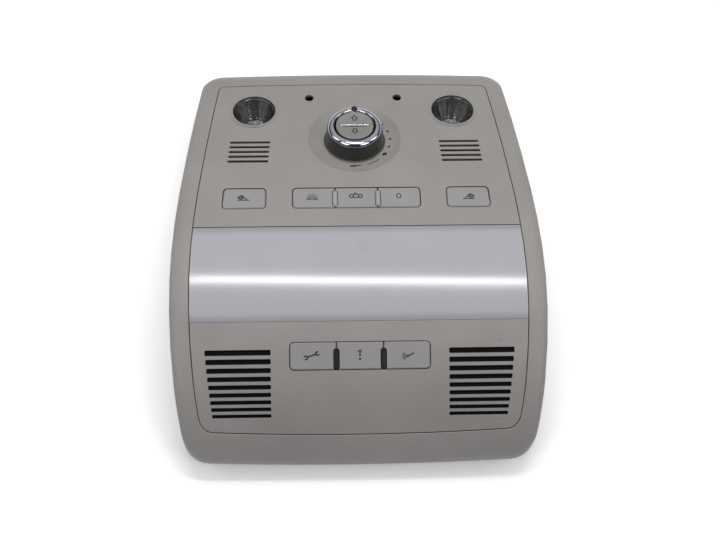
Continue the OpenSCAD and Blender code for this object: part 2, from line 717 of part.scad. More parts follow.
module speaker_basket(m) {
  color([0.15, 0.15, 0.15]) on_face(m * sound_mid_x, sound_mid_u, speaker_h) difference() {
    rotate_extrude() polygon([[speaker_r, 0], [speaker_r, -1.6], [speaker_r - 2.5, -1.6], [11, -12], [8, -12],
      [8, -10.8], [10.4, -10.8], [speaker_r - 3.6, 0]]);
    for (a = [45 : 90 : 315]) rotate(a) translate([speaker_r - 7, 0, -6]) cube([6, 11, 5.6], center = true);
  }
}

module speaker_cone(m) {
  r = speaker_r - 4;
  color([0.1, 0.1, 0.1]) on_face(m * sound_mid_x, sound_mid_u, speaker_h) rotate_extrude() polygon([
    [r, -0.2], [r - 1.5, -0.9], [r - 2.4, -1.4], [5.5, -8.4], [4, -6.6], [0, -5.6], [0, -5], [4.2, -6],
    [5.7, -7.6], [r - 2.2, -0.7], [r - 1.2, 0.1], [r, 0.4]]);
}

module speaker_magnet(m) {
  color([0.3, 0.3, 0.32]) on_face(m * sound_mid_x, sound_mid_u, speaker_h) {
    translate([0, 0, -18.1]) cylinder(h = 6, r = 10);
    translate([0, 0, -20.1]) cylinder(h = 2, r = 8);
  }
}

// Outline of the switch board: it ends in front of the reading lights but for a tongue between them
function switch_board_outline() = let (w = panel_side - 15.5, front = row_u - board_u - row_l / 2 - 6.65,
    rear = reading_u - board_u - reading_r - 4, tongue = reading_x - reading_r - 21.6)
  [[-w, front], [w, front], [w, rear], [tongue, rear], [tongue, rear + 14], [-tongue, rear + 14], [-tongue, rear],
    [-w, rear]];

module switch_board() {
  color([0.12, 0.3, 0.16]) on_face(0, board_u, -board_h - board_t - 0.1) difference() {
    linear_extrude(board_t) polygon(switch_board_outline());
    for (p = board_posts) translate([p[0], p[1], -over]) cylinder(h = board_t + 2 * over, r = 1.6, $fn = 32);
  }
}

module front_board() {
  color([0.12, 0.3, 0.16]) on_face(0, front_row_u, -front_board_h - board_t - 0.1) difference() {
    plate(2 * front_post + 10, 26, 2, 0, board_t);
    for (p = front_board_posts) translate([p[0], p[1], -over]) cylinder(h = board_t + 2 * over, r = 1.6, $fn = 32);
  }
}

// Screws that hold the two boards to the bosses of their panels
module board_screws() {
  color("silver") {
    on_face(0, board_u, -board_h - board_t - 0.1) for (p = board_posts) board_screw(p);
    on_face(0, front_row_u, -front_board_h - board_t - 0.1) for (p = front_board_posts) board_screw(p);
  }
}

module board_screw(p) {
  translate([p[0], p[1], -1.8]) cylinder(h = 1.7, r = 2.7, $fn = 32);
  translate([p[0], p[1], -0.2]) cylinder(h = board_t + 0.2, r = 1.4, $fn = 32);
}

cover_inset = bezel_t + 0.9;
cover_top = back_depth + 2.4;
cover_posts = [[-70, -48], [70, -48], [-70, 100], [70, 100]];

module back_cover() {
  color([0.2, 0.2, 0.21]) difference() {
    union() {
      difference() {
        cover_shell();
        plan(outer_edge(cover_inset + 9 + cover_t), cover_t, 60);
        plan(outer_edge(cover_inset + cover_t), back_depth - 0.6, 60);
      }
      for (s = SIDES) translate([s[1] * screw_spacing / 2, mount_y, 0]) cylinder(h = back_depth + 4, r = 6);
      for (p = cover_posts) translate([p[0], crest_y + p[1], 0]) cylinder(h = main_board_z, r = 4);
    }
    for (s = SIDES) translate([s[1] * screw_spacing / 2, mount_y, -over]) cylinder(h = 40, r = screw_hole_r);
    for (p = cover_posts) translate([p[0], crest_y + p[1], -over]) cylinder(h = 40, r = 1.6);
    translate([-22, crest_y + 40, -over]) cube([44, 20, cover_t + 2 * over]);
  }
}

// Tub that is set in below the rim, with a wall that stands inside the skirt of the bezel
module cover_shell() {
  plan(outer_edge(cover_inset + 9), 0, back_depth - 2.6);
  plan(outer_edge(cover_inset), back_depth - 2.6, cover_top);
}

module main_board() {
  color([0.12, 0.3, 0.16]) difference() {
    translate([-80, crest_y - 56, main_board_z]) cube([160, 166, board_t]);
    for (p = cover_posts) translate([p[0], crest_y + p[1], 0]) cylinder(h = 40, r = 1.7);
  }
}

module cover_screws() {
  color("silver") for (p = cover_posts) translate([p[0], crest_y + p[1], 0]) {
    translate([0, 0, main_board_z + board_t + 0.05]) cylinder(h = 2, r = 3);
    translate([0, 0, 1]) cylinder(h = main_board_z + board_t, r = 1.5);
  }
}

module connector_socket() {
  color([0.1, 0.1, 0.11]) difference() {
    translate([-21.6, crest_y + 40.4, 0.4]) cube([43.2, 19.2, main_board_z - 0.5]);
    translate([-20, crest_y + 42, -over]) cube([40, 16, socket_floor + over]);
  }
}

module connector_pins() {
  color([0.85, 0.75, 0.4]) for (i = [0 : 7], j = [0, 1])
    translate([-17.5 + 5 * i, crest_y + 47 + 6 * j, socket_floor - 2.8]) translate([-0.5, -0.5, 0]) cube([1, 1, 2.8]);
}

// Folded spring clips on the outside of the tub's side walls: a leaf along the wall with a lip
module spring_clips() {
  step = cover_inset + 9;
  color([0.6, 0.6, 0.62]) for (m = [-1, 1], y = [-40, 70]) intersection() {
    translate([m > 0 ? 0 : -face_w, crest_y + y - 6, 0]) cube([face_w, 12, 20]);
    union() {
      clip_ring(step - 0.9, step - 0.1, 1, 7);
      clip_ring(step - 4, step - 0.1, 6.2, 7);
    }
  }
}

// Upright ring between two insets of the outline
module clip_ring(out, in, low, high) {
  difference() {
    plan(outer_edge(out), low, high);
    plan(outer_edge(in), low - over, high + over);
  }
}

bezel_frame();
switch_panel();
speaker_panel();
dome_lens();
dome_reflector();
tube_bulbs();
bulb_contacts();
reading_lens(-1);  // reading_lens_left
reading_lens(1);  // reading_lens_right
reading_reflector(-1);  // reading_reflector_left
reading_reflector(1);  // reading_reflector_right
reading_bulb(-1);  // reading_bulb_left
reading_bulb(1);  // reading_bulb_right
reading_socket(-1);  // reading_socket_left
reading_socket(1);  // reading_socket_right
knob_body();
knob_ring();
knob_pointer();
knob_rocker();
rotary_switch();
reading_button(-1);  // reading_button_left
reading_button(1);  // reading_button_right
rear_button(0);  // dome_button
rear_button(1);  // door_button
rear_button(2);  // off_button
front_button(0);  // service_button
front_button(1);  // info_button
front_button(2);  // voice_button
rear_dividers();
front_dividers();
rear_switch_block();
front_switch_block();
side_switch_block(-1);  // side_switch_block_left
side_switch_block(1);  // side_switch_block_right
rear_cloth(-1);  // rear_cloth_left
rear_cloth(1);  // rear_cloth_right
speaker_cloth(-1);  // speaker_cloth_left
speaker_cloth(1);  // speaker_cloth_right
microphone(-1);  // microphone_left
microphone(1);  // microphone_right
speaker_basket(-1);  // speaker_basket_left
speaker_basket(1);  // speaker_basket_right
speaker_cone(-1);  // speaker_cone_left
speaker_cone(1);  // speaker_cone_right
speaker_magnet(-1);  // speaker_magnet_left
speaker_magnet(1);  // speaker_magnet_right
switch_board();
front_board();
main_board();
connector_socket();
connector_pins();
back_cover();
cover_screws();
board_screws();
spring_clips();
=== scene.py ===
"""Overhead console of a car with a dome light, dressed for a plain studio picture.

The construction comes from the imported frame. This script gives every part its finish, prints the
signs on the buttons and the scale round the knob, builds the knob's chrome ring and finger bar and
the faceted mirrors and clear covers of the reading lights, and sets up the floor, the lights and the
camera. Lengths are in metres unless a name says otherwise.
"""

from __future__ import annotations

import json
import logging
import math
from dataclasses import dataclass
from enum import Enum
from typing import Any, Callable, Iterable

import bmesh
import bpy
import numpy as np
from mathutils import Matrix, Vector

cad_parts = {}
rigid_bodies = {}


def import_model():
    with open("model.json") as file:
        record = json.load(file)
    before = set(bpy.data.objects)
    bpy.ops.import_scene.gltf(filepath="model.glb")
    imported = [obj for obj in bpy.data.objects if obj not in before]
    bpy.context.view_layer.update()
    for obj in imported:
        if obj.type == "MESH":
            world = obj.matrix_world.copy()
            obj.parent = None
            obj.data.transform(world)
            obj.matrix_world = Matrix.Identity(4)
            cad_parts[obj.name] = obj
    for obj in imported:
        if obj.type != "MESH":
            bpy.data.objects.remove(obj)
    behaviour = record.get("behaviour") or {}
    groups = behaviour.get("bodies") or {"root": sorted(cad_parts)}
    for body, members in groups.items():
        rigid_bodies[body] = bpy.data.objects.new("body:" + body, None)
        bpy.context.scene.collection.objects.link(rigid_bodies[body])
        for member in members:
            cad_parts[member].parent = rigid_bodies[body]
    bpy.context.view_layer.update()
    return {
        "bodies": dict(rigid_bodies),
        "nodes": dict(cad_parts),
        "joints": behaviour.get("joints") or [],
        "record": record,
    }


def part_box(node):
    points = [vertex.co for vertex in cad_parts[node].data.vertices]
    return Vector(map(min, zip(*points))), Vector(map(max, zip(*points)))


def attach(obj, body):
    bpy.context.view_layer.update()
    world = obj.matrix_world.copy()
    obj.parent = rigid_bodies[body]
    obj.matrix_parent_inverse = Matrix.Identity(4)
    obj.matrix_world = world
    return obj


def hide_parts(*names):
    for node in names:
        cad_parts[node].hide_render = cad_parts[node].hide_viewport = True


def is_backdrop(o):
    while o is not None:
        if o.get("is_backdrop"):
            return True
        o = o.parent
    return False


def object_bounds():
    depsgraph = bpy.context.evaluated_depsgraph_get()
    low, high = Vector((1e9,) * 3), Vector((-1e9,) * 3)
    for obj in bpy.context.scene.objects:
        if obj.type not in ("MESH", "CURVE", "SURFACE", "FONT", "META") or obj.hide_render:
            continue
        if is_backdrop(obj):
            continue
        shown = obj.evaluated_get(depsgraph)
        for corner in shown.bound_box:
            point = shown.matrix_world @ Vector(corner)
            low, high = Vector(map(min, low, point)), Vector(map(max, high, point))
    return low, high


MM = 0.001
LOG = logging.getLogger("overhead_console")

Array = np.ndarray
Colour = tuple[float, float, float]
Surface = Callable[[Array, float], Array]


class Side(Enum):
    """The two sides of the console, with the sign of x on each."""

    LEFT = -1
    RIGHT = 1

    @property
    def word(self) -> str:
        """The side's name as the parts' names end with it."""
        return self.name.lower()


def srgb(red: int, green: int, blue: int) -> Colour:
    """Turn a display colour into linear light.

    Args:
        red: Red from 0 to 255.
        green: Green from 0 to 255.
        blue: Blue from 0 to 255.

    Returns:
        The colour as three shares of full linear light.
    """
    share = np.array([red, green, blue]) / 255.0
    linear = np.where(share <= 0.04045, share / 12.92, ((share + 0.055) / 1.055) ** 2.4)
    return tuple(float(c) for c in linear)


class Value:
    """A number that flows through a material, with Python's arithmetic on it."""

    def __init__(self, shader: Shader, socket: bpy.types.NodeSocket) -> None:
        """Wrap a socket of one material."""
        self.shader = shader
        self.socket = socket

    def _math(self, operation: str, first: Any, second: Any = None, clamp: bool = False) -> Value:
        """Add one Math node.

        Args:
            operation: Name of the Math node's operation.
            first: First operand, a Value or a number.
            second: Second operand, or None where there is only one.
            clamp: Whether the result is held between 0 and 1.

        Returns:
            The node's result.
        """
        operands = {0: first} if second is None else {0: first, 1: second}
        node = self.shader.node("ShaderNodeMath", {"operation": operation, "use_clamp": clamp}, operands)
        return Value(self.shader, node.outputs[0])

    def __add__(self, other: Any) -> Value:
        """Sum of two values."""
        return self._math("ADD", self, other)

    __radd__ = __add__

    def __sub__(self, other: Any) -> Value:
        """Difference of two values."""
        return self._math("SUBTRACT", self, other)

    def __rsub__(self, other: Any) -> Value:
        """Difference where this value is taken away."""
        return self._math("SUBTRACT", other, self)

    def __mul__(self, other: Any) -> Value:
        """Product of two values."""
        return self._math("MULTIPLY", self, other)

    __rmul__ = __mul__

    def clamp(self) -> Value:
        """The value held between 0 and 1."""
        return self._math("ADD", self, 0.0, clamp=True)

    def larger(self, other: Any) -> Value:
        """The larger of two values."""
        return self._math("MAXIMUM", self, other)

    def sine(self) -> Value:
        """Sine of the value, in radians."""
        return self._math("SINE", self)


class Shader:
    """Node tree of one material around a Principled surface."""

    def __init__(self, name: str, colour: Colour, roughness: float, metallic: float = 0.0) -> None:
        """Start a material.

        Args:
            name: Name of the material.
            colour: Base colour in linear light.
            roughness: Roughness of the surface.
            metallic: 1 for bare metal, 0 for anything else.
        """
        self.material = bpy.data.materials.new(name)
        self.material.use_nodes = True
        self.tree = self.material.node_tree
        self.surface = self.tree.nodes["Principled BSDF"]
        self.output = self.tree.nodes["Material Output"]
        self.set("Base Color", (*colour, 1.0))
        self.set("Roughness", roughness)
        self.set("Metallic", metallic)
        self._place: Value | None = None

    def set(self, socket: str, value: Any) -> None:
        """Give one socket of the surface a constant or a link."""
        self._feed(self.surface.inputs[socket], value)

    def _feed(self, socket: bpy.types.NodeSocket, value: Any) -> None:
        """Link a value to a socket, or set the socket's own number or colour.

        Args:
            socket: Socket that is fed.
            value: A Value, another socket, or a constant.
        """
        if isinstance(value, Value):
            self.tree.links.new(value.socket, socket)
        elif isinstance(value, bpy.types.NodeSocket):
            self.tree.links.new(value, socket)
        else:
            socket.default_value = value

    def node(self, kind: str, settings: dict[str, Any] | None = None,
             inputs: dict[Any, Any] | None = None) -> bpy.types.Node:
        """Add any node.

        Args:
            kind: Blender's type name of the node.
            settings: Attributes of the node, set first; "stops" gives a ramp's places and colours.
            inputs: Values or links for sockets, by name or by place.

        Returns:
            The new node.
        """
        node = self.tree.nodes.new(kind)
        for key, setting in (settings or {}).items():
            if key == "stops":
                elements = node.color_ramp.elements
                while len(elements) < len(setting):
                    elements.new(1.0)
                for element, (place, colour) in zip(elements, setting):
                    element.position = place
                    element.color = colour
            else:
                setattr(node, key, setting)
        for key, value in (inputs or {}).items():
            self._feed(node.inputs[key], value)
        return node

    @property
    def place(self) -> bpy.types.NodeSocket:
        """Position on the piece, in the console's own frame.

        Returns:
            The Object output of a Texture Coordinate node, made once.
        """
        if self._place is None:
            self._place = self.node("ShaderNodeTexCoord").outputs["Object"]
        return self._place

    def axes(self) -> tuple[Value, Value, Value]:
        """The three coordinates of the place on the piece."""
        split = self.node("ShaderNodeSeparateXYZ", inputs={0: self.place})
        return Value(self, split.outputs[0]), Value(self, split.outputs[1]), Value(self, split.outputs[2])

    def noise(self, size: float, detail: float = 2.0, rough: float = 0.5,
              stretch: tuple[float, float, float] = (1.0, 1.0, 1.0)) -> Value:
        """Cloudy pattern.

        Args:
            size: Size of one cloud in metres.
            detail: Number of finer layers.
            rough: Strength of the finer layers.
            stretch: Factors on the three axes before the pattern is read.

        Returns:
            The pattern, from 0 to 1 around one half.
        """
        mapped = self.node("ShaderNodeMapping", inputs={"Vector": self.place, "Scale": stretch})
        noise = self.node("ShaderNodeTexNoise", inputs={
            "Vector": mapped.outputs[0], "Scale": 1.0 / size, "Detail": detail, "Roughness": rough})
        return Value(self, noise.outputs[0])

    def cells(self, size: float) -> Value:
        """Distance to the nearest of many scattered points, for pits and grains of one size."""
        cells = self.node("ShaderNodeTexVoronoi", inputs={"Vector": self.place, "Scale": 1.0 / size})
        return Value(self, cells.outputs["Distance"])

    def step(self, value: Value, low: float, high: float) -> Value:
        """Smooth step: 0 below low, 1 above high.

        Args:
            value: The number that is stepped.
            low: Where the step starts.
            high: Where the step ends.

        Returns:
            The step, from 0 to 1.
        """
        node = self.node("ShaderNodeMapRange", {"interpolation_type": "SMOOTHSTEP"}, {
            "Value": value, "From Min": low, "From Max": high})
        return Value(self, node.outputs[0])

    def blend(self, share: Value, first: Any, second: Any) -> bpy.types.NodeSocket:
        """Mix two colours.

        Args:
            share: Share of the second colour.
            first: Colour or link where the share is 0.
            second: Colour or link where the share is 1.

        Returns:
            The mixed colour.
        """
        mix = self.node("ShaderNodeMix", {"data_type": "RGBA"}, {0: share, 6: first, 7: second})
        return mix.outputs[2]

    def relief(self, height: Value, depth: float, soft_edge: float = 0.0) -> None:
        """Press a pattern into the surface.

        Args:
            height: Pattern, 1 where the surface stands highest.
            depth: Height of the pattern in metres.
            soft_edge: Radius that the light sees on sharp edges, or 0 to leave them.
        """
        inputs = {"Height": height, "Strength": 1.0, "Distance": depth}
        if soft_edge > 0:
            rounded = self.node("ShaderNodeBevel", {"samples": 4}, {"Radius": soft_edge})
            inputs["Normal"] = rounded.outputs[0]
        self.set("Normal", self.node("ShaderNodeBump", inputs=inputs).outputs[0])


def shade(colour: Colour, factor: float) -> tuple[float, float, float, float]:
    """A colour made lighter or darker, ready for a socket."""
    return (*(min(1.0, c * factor) for c in colour), 1.0)


@dataclass(frozen=True)
class Mark:
    """A scratch or smear in plan, from one place to another."""

    start: tuple[float, float]
    end: tuple[float, float]
    width: float
    strength: float

    def mask(self, x: Value, y: Value) -> Value:
        """Share of the mark: 1 less the squared distance to its line over its squared half width.

        Args:
            x: First plan coordinate of the surface.
            y: Second plan coordinate of the surface.

        Returns:
            The mark's strength at each place.
        """
        start = np.array(self.start)
        run = np.array(self.end) - start
        length = max(float(run @ run), 1e-12)
        along = ((x - start[0]) * (run[0] / length) + (y - start[1]) * (run[1] / length)).clamp()
        off_x = x - start[0] - along * run[0]
        off_y = y - start[1] - along * run[1]
        squared = off_x * off_x + off_y * off_y
        return (1.0 - squared * (4.0 / self.width ** 2)).clamp() * self.strength


@dataclass(frozen=True)
class MouldedPlastic:
    """Grained plastic with faint clouding, handling marks, softly broken edges and painted shade in its gaps.
    """

    name: str
    colour: Colour
    roughness: float = 0.5
    grain: float = 0.45 * MM
    grain_depth: float = 0.012 * MM
    clouding: float = 0.05
    soft_edge: float = 0.3 * MM
    cloud_size: float = 34 * MM
    mottle_size: float = 2.5 * MM
    mark_tone: float = 0.55
    gap_shade_reach: float = 0.0
    gap_shade_tone: float = 0.1
    marks: tuple[Mark, ...] = ()

    def build(self) -> bpy.types.Material:
        """Make the material: clouds in colour and gloss, a fine grain, darker marks, painted shade in the
        gaps.

        Returns:
            The material.
        """
        shader = Shader(self.name, self.colour, self.roughness)
        broad = shader.noise(self.cloud_size, 3.0)
        fine = shader.noise(self.mottle_size, 2.0)
        cloud = shader.step(broad * 0.75 + fine * 0.25, 0.3, 0.7)
        pale, dark = shade(self.colour, 1 + self.clouding), shade(self.colour, 1 - self.clouding)
        base: Any = shader.blend(cloud, dark, pale)
        shader.set("Roughness", (broad - 0.5) * 0.16 + (fine - 0.5) * 0.1 + self.roughness)
        if self.marks:
            x, y, _ = shader.axes()
            worn = self.marks[0].mask(x, y)
            for mark in self.marks[1:]:
                worn = worn.larger(mark.mask(x, y))
            base = shader.blend(worn, base, shade(self.colour, self.mark_tone))
        # painted shade: the colour darkens where ambient occlusion finds walls close by, in gaps, slots and
        # holes
        if self.gap_shade_reach > 0:
            occlusion = shader.node("ShaderNodeAmbientOcclusion", {"samples": 4}, {"Distance": self.gap_shade_reach})
            unshaded_share = shader.step(Value(shader, occlusion.outputs["AO"]), 0.35, 0.8)
            base = shader.blend(unshaded_share, shade(self.colour, self.gap_shade_tone), base)
        shader.set("Base Color", base)
        grain = shader.cells(self.grain) * 0.7 + shader.noise(self.grain * 0.6, 2.0) * 0.3
        shader.relief(grain, self.grain_depth, self.soft_edge)
        return shader.material


@dataclass(frozen=True)
class OpalPlastic:
    """Milky, glossy plastic of a lamp cover: light goes a little way in, and dust dulls the gloss."""

    name: str
    colour: Colour
    roughness: float
    edge_shade_span: tuple[float, float] | None = None
    edge_shade_fade: float = 6 * MM
    edge_shade_tone: float = 0.72
    smudges: tuple[Mark, ...] = ()
    smudge_tone: float = 0.7
    cloud_size: float = 46 * MM
    dull_size: float = 9 * MM
    ripple_size: float = 12 * MM
    ripple_depth: float = 0.006 * MM
    soft_edge: float = 0.25 * MM
    bleed: tuple[float, float, float] = (1.5 * MM, 1.4 * MM, 1.5 * MM)

    def build(self) -> bpy.types.Material:
        """Make the material: faint clouds, dull patches, smudges, and painted shade towards the front and rear
        edges.

        Returns:
            The material.
        """
        shader = Shader(self.name, self.colour, self.roughness)
        cloud = shader.step(shader.noise(self.cloud_size, 3.0), 0.3, 0.7)
        base: Any = shader.blend(cloud, shade(self.colour, 0.985), shade(self.colour, 1.01))
        x, y, _ = shader.axes()
        for smudge in self.smudges:
            base = shader.blend(smudge.mask(x, y), base, shade(self.colour, self.smudge_tone))
        # painted shade: the colour darkens over the fade length towards the lens's front and rear edges
        if self.edge_shade_span:
            front, rear = self.edge_shade_span
            past_front = shader.step(y, front, front + self.edge_shade_fade)
            past_rear = shader.step(y, rear - self.edge_shade_fade, rear)
            base = shader.blend(past_front * (1 - past_rear), shade(self.colour, self.edge_shade_tone), base)
        shader.set("Base Color", base)
        shader.set("Roughness", shader.noise(self.dull_size, 3.0) * 0.04 + (self.roughness - 0.02))
        shader.set("Subsurface Weight", 0.25)
        shader.set("Subsurface Radius", self.bleed)
        shader.set("Subsurface Scale", 1.0)
        shader.relief(shader.noise(self.ripple_size, 2.0), self.ripple_depth, self.soft_edge)
        return shader.material


@dataclass(frozen=True)
class Plated:
    """Metal or metal-like plating, with fine wipe marks in its gloss."""

    name: str
    colour: Colour
    roughness: float
    metallic: float = 1.0
    wipe_size: float = 6 * MM
    tint_size: float = 11 * MM
    ripple_size: float = 4 * MM
    ripple_depth: float = 0.001 * MM
    soft_edge: float = 0.12 * MM

    def build(self) -> bpy.types.Material:
        """Make the material: wipe marks in the gloss, clouds in the tint, and a slow ripple.

        Returns:
            The material.
        """
        shader = Shader(self.name, self.colour, self.roughness, self.metallic)
        wipes = shader.noise(self.wipe_size, 3.0, 0.6, (1.0, 3.0, 1.0))
        shader.set("Roughness", wipes * 0.08 + (self.roughness - 0.04))
        tint = shader.step(shader.noise(self.tint_size, 2.0), 0.3, 0.7)
        shader.set("Base Color", shader.blend(tint, shade(self.colour, 0.94), shade(self.colour, 1.03)))
        shader.relief(shader.noise(self.ripple_size, 2.0), self.ripple_depth, self.soft_edge)
        return shader.material


@dataclass(frozen=True)
class KnobPaint:
    """Dark satin paint of the knob's side, with a pale painted reflection along the foot."""

    name: str
    colour: Colour
    reflection_colour: Colour
    origin: tuple[float, float, float]
    upward: tuple[float, float, float]
    reflection_band: tuple[float, float] = (-2.6 * MM, -1.0 * MM)
    roughness: float = 0.28
    cloud_size: float = 5 * MM
    reflection_waver: float = 0.4 * MM
    grain_size: float = 0.5 * MM
    grain_depth: float = 0.004 * MM
    soft_edge: float = 0.15 * MM

    def build(self) -> bpy.types.Material:
        """Make the material: the painted reflection along the foot fades out with the height above the knob's
        patch of the face.

        Returns:
            The material.
        """
        shader = Shader(self.name, self.colour, self.roughness)
        offset = shader.node("ShaderNodeVectorMath", {"operation": "SUBTRACT"}, {
            0: shader.place, 1: self.origin})
        height = shader.node("ShaderNodeVectorMath", {"operation": "DOT_PRODUCT"}, {
            0: offset.outputs["Vector"], 1: self.upward})
        cloud = shader.noise(self.cloud_size, 3.0)
        body = shader.blend(cloud, shade(self.colour, 0.85), shade(self.colour, 1.15))
        level = Value(shader, height.outputs["Value"]) + (cloud - 0.5) * self.reflection_waver
        # painted reflection: a pale band low on the knob's side along its foot, its top wavering with the
        # clouds
        above = shader.step(level, *self.reflection_band)
        shader.set("Base Color", shader.blend(above, shade(self.reflection_colour, 1.0), body))
        shader.set("Roughness", cloud * 0.1 + (self.roughness - 0.05))
        shader.relief(shader.noise(self.grain_size, 2.0), self.grain_depth, self.soft_edge)
        return shader.material


@dataclass(frozen=True)
class ClearPane:
    """Clear glass-like plastic: mostly see-through, with reflections that grow towards its edges."""

    name: str
    tint: Colour
    haze: float = 0.02
    dust_size: float = 1.6 * MM
    refraction: float = 1.49

    def build(self) -> bpy.types.Material:
        """Make the material: see-through and glossy, mixed by the Fresnel share of the outer faces.

        Returns:
            The material.
        """
        shader = Shader(self.name, self.tint, 0.04)
        outer = shader.node("ShaderNodeFresnel", inputs={"IOR": self.refraction})
        fresnel = Value(shader, outer.outputs[0])
        inside = Value(shader, shader.node("ShaderNodeNewGeometry").outputs["Backfacing"])
        dust = shader.step(shader.noise(self.dust_size, 3.0), 0.45, 0.75)
        share = ((fresnel + dust * self.haze) * (1.0 - inside)).clamp()
        clear = shader.node("ShaderNodeBsdfTransparent", inputs={"Color": (*self.tint, 1.0)})
        mixed = shader.node("ShaderNodeMixShader", inputs={
            0: share, 1: clear.outputs[0], 2: shader.surface.outputs[0]})
        shader.set("Base Color", shade(srgb(120, 122, 124), 1.0))
        shader.tree.links.new(mixed.outputs[0], shader.output.inputs["Surface"])
        return shader.material


@dataclass(frozen=True)
class WovenCloth:
    """Thin black acoustic cloth in a plain weave."""

    name: str
    colour: Colour
    thread: float = 0.6 * MM
    thread_depth: float = 0.1 * MM

    def build(self) -> bpy.types.Material:
        """Make the material: two sets of ridges at right angles, a thread apart, over a dull dark base.

        Returns:
            The material.
        """
        shader = Shader(self.name, self.colour, 0.85)
        shader.set("Specular IOR Level", 0.15)
        x, y, _ = shader.axes()
        turn = 2 * math.pi / self.thread
        weave = (x * turn).sine() * (y * turn).sine() * 0.5 + 0.5
        shader.set("Base Color", shader.blend(weave, shade(self.colour, 0.6), shade(self.colour, 1.5)))
        shader.relief(weave, self.thread_depth)
        return shader.material


@dataclass(frozen=True)
class CircuitBoard:
    """Green lacquered board with copper tracks under the lacquer."""

    name: str
    colour: Colour
    track: float = 2.4 * MM
    track_height: float = 0.035 * MM
    wander_size: float = 22 * MM

    def build(self) -> bpy.types.Material:
        """Make the material: tracks are bands of a folded wave along two axes, lighter than the lacquer.

        Returns:
            The material.
        """
        shader = Shader(self.name, self.colour, 0.32)
        x, y, _ = shader.axes()
        turn = 2 * math.pi / self.track
        wander = shader.noise(self.wander_size, 1.0) * 5.0
        lines = shader.step((x * turn + wander).sine() * (y * turn * 0.5 - wander).sine(), 0.2, 0.3)
        shader.set("Base Color", shader.blend(lines, shade(self.colour, 0.75), shade(self.colour, 1.5)))
        shader.relief(lines, self.track_height)
        return shader.material


@dataclass(frozen=True)
class PaperPulp:
    """Pressed paper of a loudspeaker cone."""

    name: str
    colour: Colour
    fibre_size: float = 1.2 * MM
    fibre_depth: float = 0.1 * MM

    def build(self) -> bpy.types.Material:
        """Make the material: fibres are a stretched noise in colour and height.

        Returns:
            The material.
        """
        shader = Shader(self.name, self.colour, 0.9)
        fibre = shader.noise(self.fibre_size, 4.0, 0.7, (1.0, 2.6, 1.0))
        shader.set("Base Color", shader.blend(fibre, shade(self.colour, 0.6), shade(self.colour, 1.6)))
        shader.relief(fibre, self.fibre_depth)
        return shader.material


@dataclass(frozen=True)
class PrintInk:
    """Dark pad-printed ink, slightly uneven."""

    name: str
    colour: Colour
    patch_size: float = 0.5 * MM
    relief_depth: float = 0.004 * MM

    def build(self) -> bpy.types.Material:
        """Make the material: the ink's cover varies a little.

        Returns:
            The material.
        """
        shader = Shader(self.name, self.colour, 0.55)
        cover = shader.step(shader.noise(self.patch_size, 2.0), 0.2, 0.8)
        shader.set("Base Color", shader.blend(cover, shade(self.colour, 1.5), shade(self.colour, 0.8)))
        shader.relief(cover, self.relief_depth)
        return shader.material


@dataclass(frozen=True)
class FaceProfile:
    """Side profile of the console's face: an arc in front that runs into a flatter one behind."""

    front_radius: float = 141 * MM
    rear_radius: float = 600 * MM
    blend_angle: float = math.radians(5.8)
    front_reach: float = 104.6 * MM

    def crest(self) -> tuple[float, float]:
        """Plan place and height of the crest line, worked out from the bezel and the lens."""
        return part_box("bezel_frame")[0].y + self.front_reach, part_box("dome_lens")[1].z

    def tilt(self, u: Array | float) -> Array:
        """Slope at a length along the face: the length over the front radius, then over the rear one.

        Args:
            u: Length along the face from the crest.

        Returns:
            The slope in radians.
        """
        blend_u = self.front_radius * self.blend_angle
        past = self.blend_angle + (u - blend_u) / self.rear_radius
        return np.where(u < blend_u, u / self.front_radius, past)

    def point(self, x: float, u: float, height: float = 0.0) -> Array:
        """Place of a point on the face.

        The point lies on a circle about the front centre, or about the rear centre, which lies on the
        line from the blend point through the front centre; the height is added along the normal.

        Args:
            x: Distance from the middle.
            u: Length along the face from the crest.
            height: Distance above the face.

        Returns:
            The place in the console's frame.
        """
        crest_y, crest_z = self.crest()
        slope = float(self.tilt(u))
        normal = np.array([math.sin(slope), math.cos(slope)])
        blend = np.array([math.sin(self.blend_angle), math.cos(self.blend_angle)])
        centre = np.array([0.0, -self.front_radius])
        if slope < self.blend_angle:
            flat = centre + self.front_radius * normal
        else:
            flat = centre - (self.rear_radius - self.front_radius) * blend + self.rear_radius * normal
        flat = flat + height * normal
        return np.array([x, crest_y + flat[0], crest_z + flat[1]])


@dataclass(frozen=True)
class Patch:
    """Flat patch that touches the face at one place, with its own sideways and lengthwise axes."""

    profile: FaceProfile
    x: float
    u: float

    def basis(self) -> Array:
        """Directions of the patch, from the face's slope there.

        Returns:
            Array of three rows: the sideways, the lengthwise and the upward direction.
        """
        slope = float(self.profile.tilt(self.u))
        fall, run = math.sin(slope), math.cos(slope)
        return np.array([[1, 0, 0], [0, run, -fall], [0, fall, run]])

    def place(self, local: Array) -> Array:
        """Carry local points onto the patch.

        Args:
            local: Array of shape (..., 3) with sideways, lengthwise and upward distances.

        Returns:
            Array of the same shape with places in the console's frame.
        """
        return self.profile.point(self.x, self.u) + local @ self.basis()

    def plane(self, level: float) -> Surface:
        """A surface parallel to the patch, at one height, that flat drawings are laid on.

        Args:
            level: Height of the surface above the patch.

        Returns:
            The surface, which carries drawing points to places.
        """
        def lay(flat: Array, height: float) -> Array:
            """Drawing points with the given height added to the surface's level."""
            up = np.full(flat.shape[:-1] + (1,), level + height)
            return self.place(np.concatenate([flat, up], axis=-1))
        return lay


